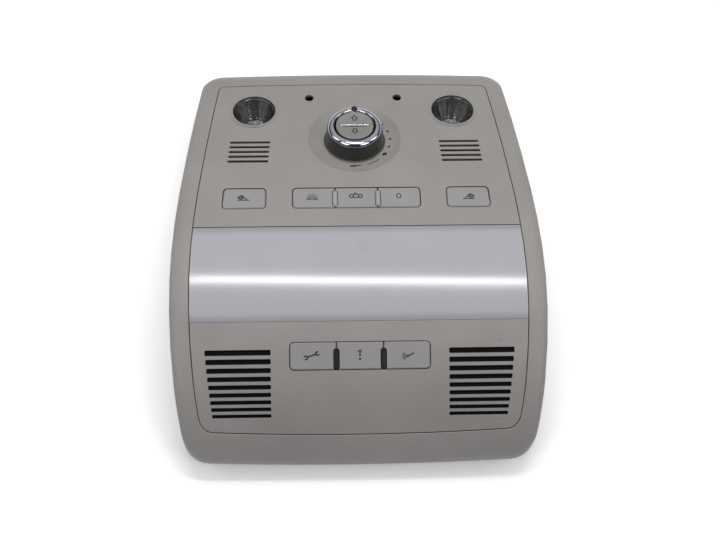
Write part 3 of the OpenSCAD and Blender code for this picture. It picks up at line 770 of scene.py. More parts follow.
def link_mesh(name: str, points: Array, faces: Iterable[Iterable[int]],
              smooth: bool = False) -> bpy.types.Object:
    """Make an object from points and faces, with its faces turned outwards.

    Args:
        name: Name of the piece.
        points: Array of shape (n, 3).
        faces: Corner numbers of each face.
        smooth: Whether the faces are shaded smooth.

    Returns:
        The new object, linked to the scene.
    """
    mesh = bpy.data.meshes.new(name)
    mesh.from_pydata(points.tolist(), [], [tuple(int(i) for i in face) for face in faces])
    sheet = bmesh.new()
    sheet.from_mesh(mesh)
    bmesh.ops.remove_doubles(sheet, verts=sheet.verts, dist=1e-7)
    bmesh.ops.recalc_face_normals(sheet, faces=sheet.faces)
    sheet.to_mesh(mesh)
    sheet.free()
    mesh.polygons.foreach_set("use_smooth", [smooth] * len(mesh.polygons))
    obj = bpy.data.objects.new(name, mesh)
    bpy.context.scene.collection.objects.link(obj)
    return obj


def tube_faces(rings: int, around: int, closed: bool) -> Array:
    """Quads of a tube whose points are numbered ring by ring.

    Args:
        rings: Number of rings along the tube.
        around: Number of points on each ring.
        closed: Whether the last ring joins the first.

    Returns:
        Array of shape (n, 4) with corner numbers.
    """
    ring = np.arange(rings if closed else rings - 1)[:, None]
    side = np.arange(around)[None, :]
    after = (ring + 1) % rings
    beside = (side + 1) % around
    corners = [ring * around + side, ring * around + beside, after * around + beside, after * around + side]
    return np.stack(corners, axis=-1).reshape(-1, 4)


def revolve(radius: Array, level: Array, around: int) -> tuple[Array, Array]:
    """Turn a profile that runs from pole to pole, each point carried round the axis at its own height.

    Args:
        radius: Distance of each profile point from the axis.
        level: Height of each profile point.
        around: Number of points round the axis.

    Returns:
        Points and faces of the turned skin.
    """
    angle = np.linspace(0.0, 2 * np.pi, around, endpoint=False)
    out, turn = np.meshgrid(radius, angle, indexing="ij")
    height = np.repeat(np.asarray(level)[:, None], around, axis=1)
    points = np.stack([out * np.cos(turn), out * np.sin(turn), height], axis=-1)
    return points.reshape(-1, 3), tube_faces(len(radius), around, False)


class Drawing:
    """Flat strokes and fills that become one thin printed solid on a surface."""

    def __init__(self, surface: Surface, thickness: float) -> None:
        """Start an empty drawing.

        Args:
            surface: Surface that the drawing lies on.
            thickness: Thickness of the ink.
        """
        self.surface = surface
        self.thickness = thickness
        self.points: list[Array] = []
        self.faces: list[list[int]] = []

    def _add(self, points: Array, faces: Iterable[Iterable[int]]) -> None:
        """Keep one closed shape, its corner numbers moved past those that are there.

        Args:
            points: Array of shape (n, 3).
            faces: Corner numbers of each face, counted from the shape's first point.
        """
        start = sum(len(p) for p in self.points)
        self.points.append(points)
        self.faces.extend([start + int(i) for i in face] for face in faces)

    def stroke(self, path: Any, width: float, closed: bool = False) -> Drawing:
        """Draw a band along a path, both in millimetres.

        Each path point is moved half the width to both sides along the mean normal of its two
        neighbouring legs, made longer at a bend by one over the cosine of half the turn.

        Args:
            path: Points of the band's middle line.
            width: Width of the band.
            closed: Whether the band runs back to its start.

        Returns:
            The drawing itself.
        """
        line = np.asarray(path, float)
        legs = np.roll(line, -1, axis=0) - line
        legs /= np.maximum(np.linalg.norm(legs, axis=1, keepdims=True), 1e-9)
        before = np.roll(legs, 1, axis=0)
        if not closed:
            legs[-1] = before[-1]
            before[0] = legs[0]
        mean = legs + before
        mean /= np.maximum(np.linalg.norm(mean, axis=1, keepdims=True), 1e-9)
        stretch = 1.0 / np.maximum((mean * legs).sum(axis=1, keepdims=True), 0.5)
        normal = np.stack([-mean[:, 1], mean[:, 0]], axis=1) * stretch * width / 2
        left, right = (line + normal) * MM, (line - normal) * MM
        ring = np.stack([self.surface(left, self.thickness), self.surface(right, self.thickness),
                         self.surface(right, 0.0), self.surface(left, 0.0)], axis=1)
        faces = [list(f) for f in tube_faces(len(line), 4, closed)]
        if not closed:
            last = 4 * (len(line) - 1)
            faces += [[0, 1, 2, 3], [last + 3, last + 2, last + 1, last]]
        self._add(ring.reshape(-1, 3), faces)
        return self

    def fill(self, outline: Any) -> Drawing:
        """Fill an outline.

        Args:
            outline: Points of the outline in millimetres.

        Returns:
            The drawing itself.
        """
        edge = np.asarray(outline, float) * MM
        count = len(edge)
        points = np.concatenate([self.surface(edge, self.thickness), self.surface(edge, 0.0)])
        top = list(range(count))
        sides = [[i, (i + 1) % count, count + (i + 1) % count, count + i] for i in top]
        self._add(points, [top, [count + i for i in reversed(top)], *sides])
        return self

    def dot(self, centre: tuple[float, float], radius: float) -> Drawing:
        """Fill a circle given in millimetres."""
        return self.fill(round_outline(centre, radius))

    def build(self, name: str, material: bpy.types.Material, body: str, slot: str) -> bpy.types.Object:
        """Turn the drawing into a piece that rides on a body.

        Args:
            name: Name of the piece.
            material: Finish of the piece.
            body: Body that carries it.
            slot: Not used.

        Returns:
            The piece.
        """
        piece = link_mesh(name, np.concatenate(self.points), self.faces)
        piece.data.materials.append(material)
        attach(piece, body)
        return piece


def arc(centre: tuple[float, float], radius: float | tuple[float, float], start: float, end: float,
        steps: int = 12) -> Array:
    """Points on an arc or a part of an ellipse.

    Args:
        centre: Middle of the arc.
        radius: Radius, or the two half axes.
        start: First angle in degrees.
        end: Last angle in degrees.
        steps: Number of steps between them.

    Returns:
        Array of shape (steps + 1, 2).
    """
    angle = np.radians(np.linspace(start, end, steps + 1))
    return np.asarray(centre) + np.stack([np.cos(angle), np.sin(angle)], axis=1) * np.asarray(radius)


def round_outline(centre: Any, radius: float | tuple[float, float]) -> Array:
    """Outline of a circle or ellipse in 20 points."""
    return arc(centre, radius, 0, 360, 20)[:-1]


def turned(points: Any, degrees: float) -> Array:
    """Points turned about the origin.

    Args:
        points: Array of shape (n, 2).
        degrees: Turn, anticlockwise.

    Returns:
        Array of the same shape.
    """
    angle = math.radians(degrees)
    turn = np.array([[math.cos(angle), math.sin(angle)], [-math.sin(angle), math.cos(angle)]])
    return np.asarray(points, float) @ turn


def dress(frame: dict[str, Any], finishes: dict[str, bpy.types.Material]) -> None:
    """Give each named CAD node its finish.

    Args:
        frame: The loaded frame.
        finishes: Material by node name.
    """
    for name, material in finishes.items():
        slots = frame["nodes"][name].data.materials
        slots.clear()
        slots.append(material)
        LOG.info("dressed %s in %s", name, material.name)


def soften(obj: bpy.types.Object, angle: float) -> None:
    """Shade a CAD piece smooth across its shallow edges.

    Its own normals are dropped, its doubled points are welded, and edges steeper than the angle
    are split again, all without touching the mesh itself.

    Args:
        obj: The piece.
        angle: Steepest edge that is shaded smooth, in radians.
    """
    normals = obj.data.attributes.get("custom_normal")
    if normals:
        obj.data.attributes.remove(normals)
    obj.data.polygons.foreach_set("use_smooth", [True] * len(obj.data.polygons))
    obj.modifiers.new("weld", "WELD").merge_threshold = 0.005 * MM
    obj.modifiers.new("edge_split", "EDGE_SPLIT").split_angle = angle


class Workshop:
    """Builds each finish once and hands it out by name."""

    GREY = srgb(137, 134, 131)

    def __init__(self, profile: FaceProfile) -> None:
        """Mix all finishes; the marks of use lie where the face shows them.

        Args:
            profile: Profile of the face, for the places of the marks.
        """
        self.profile = profile
        panel_marks = (self.scratch(69, -89.4, 97, -89.7, 0.5, 0.3),
                       self.scratch(90.8, -73.6, 97, -74.0, 0.45, 0.35),
                       self.scratch(84.2, -41.8, 85.2, -41.4, 1.8, 0.35),
                       self.scratch(53, -46.2, 93, -38.6, 0.25, 0.2))
        bezel_marks = (self.scratch(36.4, -101.5, 36.8, -106.2, 0.6, 0.3),)
        # reach of the painted shade in gaps, slots and holes
        gap = 1.2 * MM
        self.panel = MouldedPlastic("grey_soft_plastic", self.GREY, gap_shade_reach=gap, marks=panel_marks).build()
        self.bezel = MouldedPlastic("grey_bezel_plastic", self.GREY, gap_shade_reach=gap, marks=bezel_marks).build()
        self.button = MouldedPlastic("button_plastic", srgb(138, 136, 135), 0.42, clouding=0.03,
                                     gap_shade_reach=gap).build()
        self.divider = MouldedPlastic("pale_divider_plastic", srgb(150, 147, 150), 0.35).build()
        self.black = MouldedPlastic("black_plastic", srgb(28, 28, 29), 0.55, soft_edge=0.0).build()
        self.gloss_black = MouldedPlastic("smooth_black_plastic", srgb(24, 24, 25), 0.3).build()
        self.cover = MouldedPlastic("back_cover_plastic", srgb(54, 54, 56), 0.6, soft_edge=0.0).build()
        # front and rear of the opal lens, towards which its colour takes painted shade
        lens_front, lens_rear = (corner.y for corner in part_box("dome_lens"))
        self.opal = OpalPlastic("opal_lens_plastic", srgb(166, 164, 170), 0.15, (lens_front, lens_rear),
                                smudges=(self.scratch(2.0, 19.0, 3.0, 22.5, 9.0, 0.13),)).build()
        self.white = MouldedPlastic("white_reflector_plastic", srgb(232, 232, 228), 0.5, soft_edge=0.0).build()
        self.chrome = Plated("chrome_plating", srgb(192, 192, 202), 0.06).build()
        self.satin = Plated("satin_silver_paint", srgb(176, 175, 178), 0.2, 0.8).build()
        self.rocker = Plated("satin_rocker_paint", srgb(136, 134, 131), 0.42, 0.35).build()
        self.mirror = Plated("vapour_silvered_mirror", srgb(146, 147, 146), 0.05).build()
        self.pane = ClearPane("clear_reading_pane", (0.93, 0.95, 0.94)).build()
        self.bulb = OpalPlastic("bulb_glass", srgb(150, 150, 146), 0.12).build()
        self.brass = Plated("contact_brass", srgb(206, 172, 96), 0.3).build()
        self.steel = Plated("spring_steel", srgb(150, 150, 154), 0.34).build()
        self.magnet = Plated("magnet_ferrite", srgb(70, 70, 74), 0.5, 0.3).build()
        self.board = CircuitBoard("lacquered_board", srgb(34, 92, 48)).build()
        self.cloth = WovenCloth("acoustic_cloth", srgb(8, 8, 9)).build()
        self.paper = PaperPulp("cone_paper", srgb(48, 46, 44)).build()
        self.ink = PrintInk("dark_ink", srgb(18, 18, 20)).build()

    def scratch(self, x0: float, u0: float, x1: float, u1: float, width: float, strength: float) -> Mark:
        """A mark between two places on the face.

        Args:
            x0: Sideways start in millimetres.
            u0: Start along the face in millimetres.
            x1: Sideways end in millimetres.
            u1: End along the face in millimetres.
            width: Width in millimetres.
            strength: How far the mark covers the surface.

        Returns:
            The mark in plan.
        """
        start = self.profile.point(x0 * MM, u0 * MM)
        end = self.profile.point(x1 * MM, u1 * MM)
        return Mark((start[0], start[1]), (end[0], end[1]), width * MM, strength)


@dataclass
class Casing:
    """Bezel, panels, cover and what hangs behind them."""

    shop: Workshop

    def build(self, frame: dict[str, Any]) -> None:
        """Dress the casing, the grille cloths, the loudspeakers and the boards.

        Args:
            frame: The loaded frame.
        """
        shop = self.shop
        finishes = {"bezel_frame": shop.bezel, "switch_panel": shop.panel, "speaker_panel": shop.panel,
                    "back_cover": shop.cover, "connector_socket": shop.black, "connector_pins": shop.brass,
                    "cover_screws": shop.steel, "board_screws": shop.steel, "spring_clips": shop.steel}
        for board in ("switch_board", "front_board", "main_board"):
            finishes[board] = shop.board
        for side in Side:
            finishes[f"rear_cloth_{side.word}"] = shop.cloth
            finishes[f"speaker_cloth_{side.word}"] = shop.cloth
            finishes[f"microphone_{side.word}"] = shop.black
            finishes[f"speaker_basket_{side.word}"] = shop.black
            finishes[f"speaker_cone_{side.word}"] = shop.paper
            finishes[f"speaker_magnet_{side.word}"] = shop.magnet
        dress(frame, finishes)
        soften(frame["nodes"]["bezel_frame"], math.radians(32))


@dataclass
class DomeLight:
    """Opal lens with its white tray and two tubular bulbs."""

    shop: Workshop

    def build(self, frame: dict[str, Any]) -> None:
        """Dress the lamp.

        Args:
            frame: The loaded frame.
        """
        dress(frame, {"dome_lens": self.shop.opal, "dome_reflector": self.shop.white,
                      "tube_bulbs": self.shop.bulb, "bulb_contacts": self.shop.brass})


@dataclass
class ReadingLight:
    """One reading light: thin clear cover, faceted mirror, bulb and its holder."""

    shop: Workshop
    profile: FaceProfile
    side: Side
    offset: float = 66.4 * MM
    along: float = 132.8 * MM
    mouth: float = 13.6 * MM
    throat: float = 4.3 * MM
    top: float = -1.4 * MM
    bottom: float = -17.2 * MM
    swell: float = 0.22 * MM
    rings: int = 9
    sectors: int = 24
    pillow: int = 6
    lip: float = 0.3 * MM
    wall: float = 0.5 * MM
    wall_run: float = 6.0
    pane_radius: float = 13.9 * MM
    pane_top: float = -0.4 * MM
    pane_wall: float = 0.9 * MM
    pane_crown: float = 0.3 * MM
    pane_bevel: float = 0.2 * MM
    pane_steps: int = 13
    pane_around: int = 96

    def patch(self) -> Patch:
        """The patch of the face that the light sits in."""
        return Patch(self.profile, self.side.value * self.offset, self.along)

    def mirror_mesh(self) -> tuple[Array, Array]:
        """Inner and outer skin of the mirror.

        The inner skin is a bowl whose radius falls with the square root of the way down. It is cut
        into rings and sectors, and each facet swells towards the axis by a sine in both directions.
        The outer skin lies a wall further out, thin where it passes through the panel.

        Returns:
            Points and faces of the closed bowl.
        """
        down = np.linspace(0.0, 1.0, self.rings * self.pillow + 1)
        turn = np.linspace(0.0, 2 * np.pi, self.sectors * self.pillow, endpoint=False)
        way, angle = np.meshgrid(down, turn, indexing="ij")
        swell = np.abs(np.sin(way * self.rings * np.pi) * np.sin(angle * self.sectors / 2))
        bowl = self.throat + (self.mouth - self.throat) * np.sqrt(1 - way)
        level = self.top + (self.bottom - self.top) * way
        wall = self.lip + self.wall * np.minimum(way * self.wall_run, 1.0)
        skins = [np.stack([r * np.cos(angle), r * np.sin(angle), h], axis=-1)
                 for r, h in ((bowl - self.swell * swell, level), ((bowl + wall)[::-1], level[::-1]))]
        points = np.concatenate(skins)
        return points.reshape(-1, 3), tube_faces(points.shape[0], points.shape[1], True)

    def pane_mesh(self) -> tuple[Array, Array]:
        """Thin clear cover: a turned disc, its top crowned by the square of the radius, its edge bevelled.

        Returns:
            Points and faces of the closed disc.
        """
        reach = np.linspace(0.0, 1.0, self.pane_steps)
        crown = self.pane_crown * (1 - reach ** 2)
        under = np.full(self.pane_steps, self.pane_top - self.pane_wall)
        radius = np.concatenate([reach * (self.pane_radius - self.pane_bevel), [self.pane_radius],
                                 self.pane_radius * reach[::-1]])
        level = np.concatenate([self.pane_top - self.pane_bevel + crown,
                                [self.pane_top - 2 * self.pane_bevel], under])
        return revolve(radius, level, self.pane_around)

    def build(self, frame: dict[str, Any]) -> None:
        """Make the mirror and the clear cover, and dress the rest.

        Args:
            frame: The loaded frame.
        """
        word = self.side.word
        for name, (points, faces), material, node, slot in (
                ("faceted_mirror", self.mirror_mesh(), self.shop.mirror, "reading_reflector", "reflector"),
                ("clear_cover", self.pane_mesh(), self.shop.pane, "reading_lens", "clear_plastic")):
            piece = link_mesh(f"{name}_{word}", self.patch().place(points), faces, smooth=True)
            piece.data.materials.append(material)
            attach(piece, "console")
            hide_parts(f"{node}_{word}")
            LOG.info("built %s with %d faces", piece.name, len(piece.data.polygons))
        dress(frame, {f"reading_lens_{word}": self.shop.pane, f"reading_bulb_{word}": self.shop.bulb,
                      f"reading_socket_{word}": self.shop.black,
                      f"reading_reflector_{word}": self.shop.mirror})


@dataclass
class RotarySwitch:
    """Knob with its chrome ring, pointer, rocker and finger bar, and the scale in the dish round it."""

    shop: Workshop
    profile: FaceProfile
    along: float = 106.8 * MM
    knob_height: float = 12 * MM
    hollow_radius: float = 10.6 * MM
    hollow_depth: float = 0.8 * MM
    rocker_rise: float = 0.2 * MM
    dish_depth: float = 2.4 * MM
    dish_floor: float = 21 * MM
    dish_slope: float = 9.5 * MM
    dish_power: float = 2.2
    bar_length: float = 19.8 * MM
    bar_width: float = 2.0 * MM
    bar_rise: float = 0.95 * MM
    bar_sink: float = 0.7 * MM
    bar_foot: float = 0.35 * MM
    bar_tip: float = 0.02 * MM
    bar_around: int = 64
    bar_steps: int = 7
    ring_inner: float = 12.95 * MM
    ring_crest: float = 14.3 * MM
    ring_outer: float = 17.65 * MM
    ring_foot: float = 9.3 * MM
    ring_height: float = 2.65 * MM
    ring_lip: float = 1.0 * MM
    ring_heel: float = 0.4 * MM
    ring_steps: int = 33
    ring_around: int = 256
    notch_half: float = 1.75 * MM
    notch_floor: float = 11.15 * MM
    ink: float = 0.04 * MM

    def patch(self) -> Patch:
        """The patch of the face under the knob's middle."""
        return Patch(self.profile, 0.0, self.along)

    def dish(self, flat: Array, height: float) -> Array:
        """Lay a drawing in the dish.

        Height is that of the floor up to its edge. Past it, it rises to the face by a power of the
        share of the slope that lies behind.

        Args:
            flat: Drawing points in metres from the knob's middle.
            height: Distance above the dish.

        Returns:
            Places in the console's frame.
        """
        past = np.maximum(np.linalg.norm(flat, axis=-1, keepdims=True) - self.dish_floor, 0.0)
        level = self.dish_depth * ((past / self.dish_slope) ** self.dish_power - 1) + height
        return self.patch().place(np.concatenate([flat, level], axis=-1))

    def hollow(self, flat: Array, height: float) -> Array:
        """Lay a drawing on the rocker, whose hollow rises with the square of the way from the middle.

        Args:
            flat: Drawing points in metres from the knob's middle.
            height: Distance above the rocker.

        Returns:
            Places in the console's frame.
        """
        share = (flat ** 2).sum(axis=-1, keepdims=True) / self.hollow_radius ** 2
        level = self.knob_height + self.rocker_rise - self.hollow_depth * (1 - np.minimum(share, 1.0))
        return self.patch().place(np.concatenate([flat, level + height], axis=-1))

    def scale(self) -> None:
        """Print the scale: four dots, a long dot, an arc and a small roof sign."""
        drawing = Drawing(self.dish, self.ink)
        for x, y, size in ((19.0, 14.1, 0.5), (22.1, 8.0, 0.8), (23.5, 1.0, 0.8), (22.5, -5.9, 0.8)):
            drawing.fill(round_outline((x, y), (size, size * 1.2)))
        drawing.fill(turned(round_outline((0, 0), (1.75, 1.15)), 32) + np.array([19.4, -12.4]))
        drawing.stroke(arc((0, 0), 22.9, -47.5, -70.5, 10), 0.55)
        roof = np.array([0.0, -22.3])
        drawing.stroke(arc(roof + (-1.6, -1.3), (2.1, 1.3), 20, 160, 8), 0.65)
        drawing.stroke(arc(roof + (1.7, 1.1), (2.0, 1.2), 200, 340, 8), 0.65)
        drawing.stroke([roof + (-3.6, -0.6), roof + (-0.2, -0.9)], 0.65)
        drawing.build("knob_scale", self.shop.ink, "console", "black_plastic")

    def arrows(self) -> None:
        """Print the rocker's two arrow outlines, and the line that parts its halves beside the bar."""
        shape = np.array([[0, 2.3], [1.9, 0.1], [1.05, 0.1], [1.05, -1.8],
                          [-1.05, -1.8], [-1.05, 0.1], [-1.9, 0.1]])
        drawing = Drawing(self.hollow, self.ink)
        for way, off in ((1, 6.6), (-1, 4.6)):
            drawing.stroke((shape + np.array([0, off])) * np.array([1, way]), 0.6, closed=True)
            drawing.stroke([(way * 9.9, 0), (way * 11.6, 0)], 0.4)
        drawing.build("rocker_arrows", self.shop.ink, "rocker", "black_plastic")

    def bar(self) -> None:
        """Lay the satin finger bar along the rocker's middle.

        The bar's edge is a capsule in plan. Rings of it shrink towards the middle line by a cosine while
        they rise by a sine, so its back is rounded.
        """
        turn = np.linspace(0.0, 2 * np.pi, self.bar_around, endpoint=False)
        rise = np.radians(np.linspace(0.0, 90.0, self.bar_steps))
        lean, angle = np.meshgrid(rise, turn, indexing="ij")
        straight = np.sign(np.cos(angle)) * (self.bar_length - self.bar_width) / 2
        inner = self.bar_tip + (self.bar_width / 2 - self.bar_tip) * np.cos(lean)
        low = self.knob_height - self.bar_sink
        high = low + self.bar_foot + self.bar_rise * np.sin(lean)
        top = np.stack([straight + inner * np.cos(angle), inner * np.sin(angle), high], axis=-1)
        foot = top[:1].copy()
        foot[..., 2] = low
        points = np.concatenate([foot, top])
        rings, around = points.shape[:2]
        faces = [list(face) for face in tube_faces(rings, around, False)]
        faces += [list(range(around)), list(range((rings - 1) * around, rings * around))]
        piece = link_mesh("rocker_bar", self.patch().place(points.reshape(-1, 3)), faces, smooth=True)
        piece.data.materials.append(self.shop.satin)
        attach(piece, "rocker")

    def ring(self) -> None:
        """Lay the chrome ring on the knob, with a notch for the pointer.

        Its section is two quarter ellipses that share the crest: a steep one inside, a flat one outside.
        In the notch the height is held down to the notch's floor.
        """
        lean = np.linspace(0.0, math.pi, self.ring_steps)
        inside, outside = self.ring_crest - self.ring_inner, self.ring_outer - self.ring_crest
        reach = np.where(lean < math.pi / 2, inside, outside)
        radius = np.append(self.ring_crest - reach * np.cos(lean),
                           [self.ring_outer - self.ring_lip, self.ring_inner + self.ring_heel])
        level = np.append(self.ring_foot + self.ring_height * np.sin(lean), [self.ring_foot] * 2)
        angle = np.linspace(0.0, 2 * np.pi, self.ring_around, endpoint=False)
        out, turn = np.meshgrid(radius, angle, indexing="ij")
        up = np.repeat(level[:, None], len(angle), axis=1)
        points = np.stack([out * np.cos(turn), out * np.sin(turn), up], axis=-1)
        notch = (np.abs(points[..., 0]) < self.notch_half) & (points[..., 1] > 0)
        points[..., 2] = np.where(notch, np.minimum(up, self.notch_floor), up)
        piece = link_mesh("chrome_ring", self.patch().place(points.reshape(-1, 3)),
                          tube_faces(len(radius), len(angle), True), smooth=True)
        piece.data.materials.append(self.shop.chrome)
        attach(piece, "knob")
        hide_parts("knob_ring")

    def build(self, frame: dict[str, Any]) -> None:
        """Print the scale and the arrows, lay the bar and the ring, and dress the knob.

        Args:
            frame: The loaded frame.
        """
        self.scale()
        self.arrows()
        self.bar()
        self.ring()
        patch = self.patch()
        # the second colour is the painted reflection along the knob's foot
        paint = KnobPaint("dark_satin_paint", srgb(46, 46, 41), srgb(140, 139, 135),
                          tuple(patch.place(np.zeros(3))), tuple(patch.basis()[2])).build()
        dress(frame, {"knob_body": paint, "knob_ring": self.shop.chrome,
                      "knob_pointer": self.shop.gloss_black, "knob_rocker": self.shop.rocker,
                      "rotary_switch": self.shop.black})
        LOG.info("built the knob's ring, bar, scale and arrows")


class Sign(Enum):
    """The plain signs on the buttons."""

    READING_LEFT = "reading_left"
    READING_RIGHT = "reading_right"
    DOME = "dome"
    DOORS = "doors"
    ZERO = "zero"
    SPANNER = "spanner"
    INFO = "info"
    VOICE = "voice"


@dataclass
class PushButton:
    """One push button's sign: where it lies on the face and on which button."""

    button: str
    sign: Sign
    row: float
    x: float
    v: float
    top: float = 0.2 * MM
    ink: float = 0.035 * MM
    line: float = 0.66

    def draw(self, drawing: Drawing) -> None:
        """Draw the sign about its own middle, in millimetres.

        Args:
            drawing: Drawing that takes the strokes.
        """
        {Sign.READING_LEFT: self.lamp, Sign.READING_RIGHT: self.lamp, Sign.DOME: self.dome,
         Sign.DOORS: self.doors, Sign.ZERO: self.zero, Sign.SPANNER: self.spanner,
         Sign.INFO: self.info, Sign.VOICE: self.voice}[self.sign](drawing)

    def lamp(self, drawing: Drawing) -> None:
        """Reading lamp: shade, arm and table line, mirrored on the right.

        Args:
            drawing: Drawing that takes the strokes.
        """
        flip = np.array([-1 if self.sign is Sign.READING_RIGHT else 1, 1])
        drawing.stroke(np.array([[-3.7, -1.8], [3.7, -1.8]]) * flip, self.line)
        drawing.stroke(np.array([[-0.9, 1.9], [0.6, 0.5], [1.5, -0.4], [2.3, -1.7]]) * flip, 0.6)
        shade_outline = np.array([[-3.6, 0.3], [-1.4, 1.9], [0.0, -0.3], [-1.9, -1.2]])
        drawing.stroke(shade_outline * flip, self.line, closed=True)
        drawing.stroke(np.array([[-2.6, 0.1], [-1.1, 1.1]]) * flip, 0.4)
        drawing.stroke(np.array([[-2.2, -0.5], [-0.6, 0.5]]) * flip, 0.4)

    def dome(self, drawing: Drawing) -> None:
        """Dome lamp: a low half round on a line, with five rays.

        Args:
            drawing: Drawing that takes the strokes.
        """
        drawing.stroke([(-3.9, -1.5), (3.9, -1.5)], self.line)
        drawing.stroke(arc((0, -1.5), (2.1, 1.75), 0, 180, 14), self.line)
        for angle in (28, 59, 90, 121, 152):
            way = np.array([math.cos(math.radians(angle)), math.sin(math.radians(angle))])
            drawing.stroke([way * 2.7 + (0, -1.3), way * 3.9 + (0, -1.3)], self.line)

    def doors(self, drawing: Drawing) -> None:
        """Car body seen from its end between two round door signs, with a slanting roof line.

        Args:
            drawing: Drawing that takes the strokes.
        """
        for way in (1, -1):
            drawing.stroke(arc((way * 2.85, 0), (way * 1.15, 1.3), -155, 155, 18), self.line)
        drawing.stroke([(-1.6, -1.25), (-1.6, 0.7), (-0.8, 1.3), (0.8, 1.3), (1.6, 0.7), (1.6, -1.25)],
                       self.line, closed=True)
        drawing.stroke([(-1.3, 2.3), (0.9, 1.4)], self.line)

    def zero(self, drawing: Drawing) -> None:
        """Plain zero."""
        drawing.stroke(arc((0, 0), (1.3, 1.8), 0, 360, 28)[:-1], 0.55, closed=True)

    def spanner(self, drawing: Drawing) -> None:
        """Double open spanner that slants up to the right.

        Args:
            drawing: Drawing that takes the strokes.
        """
        slant = 19
        for way, start, end in ((1, 45, 315), (-1, 225, 495)):
            drawing.stroke(turned(arc((way * 3.8, 0), 1.05, start, end, 16), slant), 0.85)
        for level in (-0.42, 0.0, 0.42):
            drawing.stroke(turned([(-2.8, level), (2.8, level)], slant), 0.3)

    def info(self, drawing: Drawing) -> None:
        """Plain notice sign: a short bar on a stem, with a dot under it.

        Args:
            drawing: Drawing that takes the strokes.
        """
        drawing.fill([(-1.2, 3.0), (1.2, 3.0), (1.2, 2.2), (0.4, 2.2), (0.4, 0.3), (0.8, 0.3), (0.8, -0.4),
                      (-0.6, -0.4), (-0.6, 0.3), (-0.35, 0.3), (-0.35, 2.2), (-1.2, 2.2)])
        drawing.dot((0, -2.3), 0.72)

    def voice(self, drawing: Drawing) -> None:
        """Hand microphone with sound waves before it.

        Args:
            drawing: Drawing that takes the strokes.
        """
        drawing.stroke([(-0.2, -0.2), (1.4, 0.55), (3.6, 1.45)], 0.75)
        drawing.dot((-0.3, -0.25), 0.72)
        for reach in (1.7, 2.6, 3.5):
            drawing.stroke(arc((0.2, -0.2), (reach, reach * 1.05), 145, 225, 8), 0.42)

    def build(self, shop: Workshop, profile: FaceProfile) -> None:
        """Print the sign on its button.

        Args:
            shop: Finishes.
            profile: Profile of the face.
        """
        patch = Patch(profile, 0.0, self.row)
        middle = np.array([self.x, self.v])
        plane = patch.plane(self.top)
        drawing = Drawing(lambda flat, height: plane(flat + middle, height), self.ink)
        self.draw(drawing)
        piece = drawing.build(f"{self.sign.value}_sign", shop.ink, self.button, "black_plastic")
        LOG.info("printed %s on %s", piece.name, self.button)


@dataclass
class ButtonRows:
    """All eight push buttons with their signs and dividers."""

    shop: Workshop
    profile: FaceProfile
    rear_row: float = 56.8 * MM
    front_row: float = -49.5 * MM

    def build(self, frame: dict[str, Any]) -> None:
        """Print every sign and dress the buttons.

        Args:
            frame: The loaded frame.
        """
        rear, front = self.rear_row, self.front_row
        buttons = (
            PushButton("reading_button_left", Sign.READING_LEFT, rear, -71.4 * MM, 0.4 * MM),
            PushButton("reading_button_right", Sign.READING_RIGHT, rear, 71.2 * MM, 0.1 * MM),
            PushButton("dome_button", Sign.DOME, rear, -28.0 * MM, 0.4 * MM),
            PushButton("door_button", Sign.DOORS, rear, -0.3 * MM, 1.2 * MM),
            PushButton("off_button", Sign.ZERO, rear, 26.8 * MM, 1.0 * MM),
            PushButton("service_button", Sign.SPANNER, front, -29.2 * MM, 0.3 * MM),
            PushButton("info_button", Sign.INFO, front, -0.1 * MM, 0.3 * MM),
            PushButton("voice_button", Sign.VOICE, front, 29.1 * MM, -0.3 * MM))
        for button in buttons:
            button.build(self.shop, self.profile)
        dress(frame, {button.button: self.shop.button for button in buttons})
        places = ("rear_switch_block", "front_switch_block",
                  "side_switch_block_left", "side_switch_block_right")
        dress(frame, {block: self.shop.black for block in places})
        dress(frame, {"rear_dividers": self.shop.divider, "front_dividers": self.shop.gloss_black})


@dataclass
class Camera:
    """Camera that looks at the console from in front and well above."""

    azimuth: float = -0.0821
    elevation: float = 1.1694
    roll: float = 0.0646
    distance: float = 735.3 * MM
    focal: float = 61.74
    sensor: float = 36.0
    target: tuple[float, float, float] = (0.23 * MM, -35.3 * MM, 82.5 * MM)

    def build(self) -> None:
        """Place the camera: its back points along the two angles, and the roll turns its other axes."""
        flat = math.cos(self.elevation)
        back = Vector((math.sin(self.azimuth) * flat, -math.cos(self.azimuth) * flat,
                       math.sin(self.elevation)))
        side = (-back).cross(Vector((0, 0, 1))).normalized()
        lift = side.cross(-back)
        right = side * math.cos(self.roll) + lift * math.sin(self.roll)
        up = lift * math.cos(self.roll) - side * math.sin(self.roll)
        place = Vector(self.target) + back * self.distance
        data = bpy.data.cameras.new("studio_camera")
        data.lens = self.focal
        data.sensor_width = self.sensor
        data.sensor_fit = "HORIZONTAL"
        data.clip_start = 0.01
        camera = bpy.data.objects.new("studio_camera", data)
        camera.matrix_world = Matrix(((right.x, up.x, back.x, place.x),
                                      (right.y, up.y, back.y, place.y),
                                      (right.z, up.z, back.z, place.z), (0, 0, 0, 1)))
        bpy.context.scene.collection.objects.link(camera)
        bpy.context.scene.camera = camera


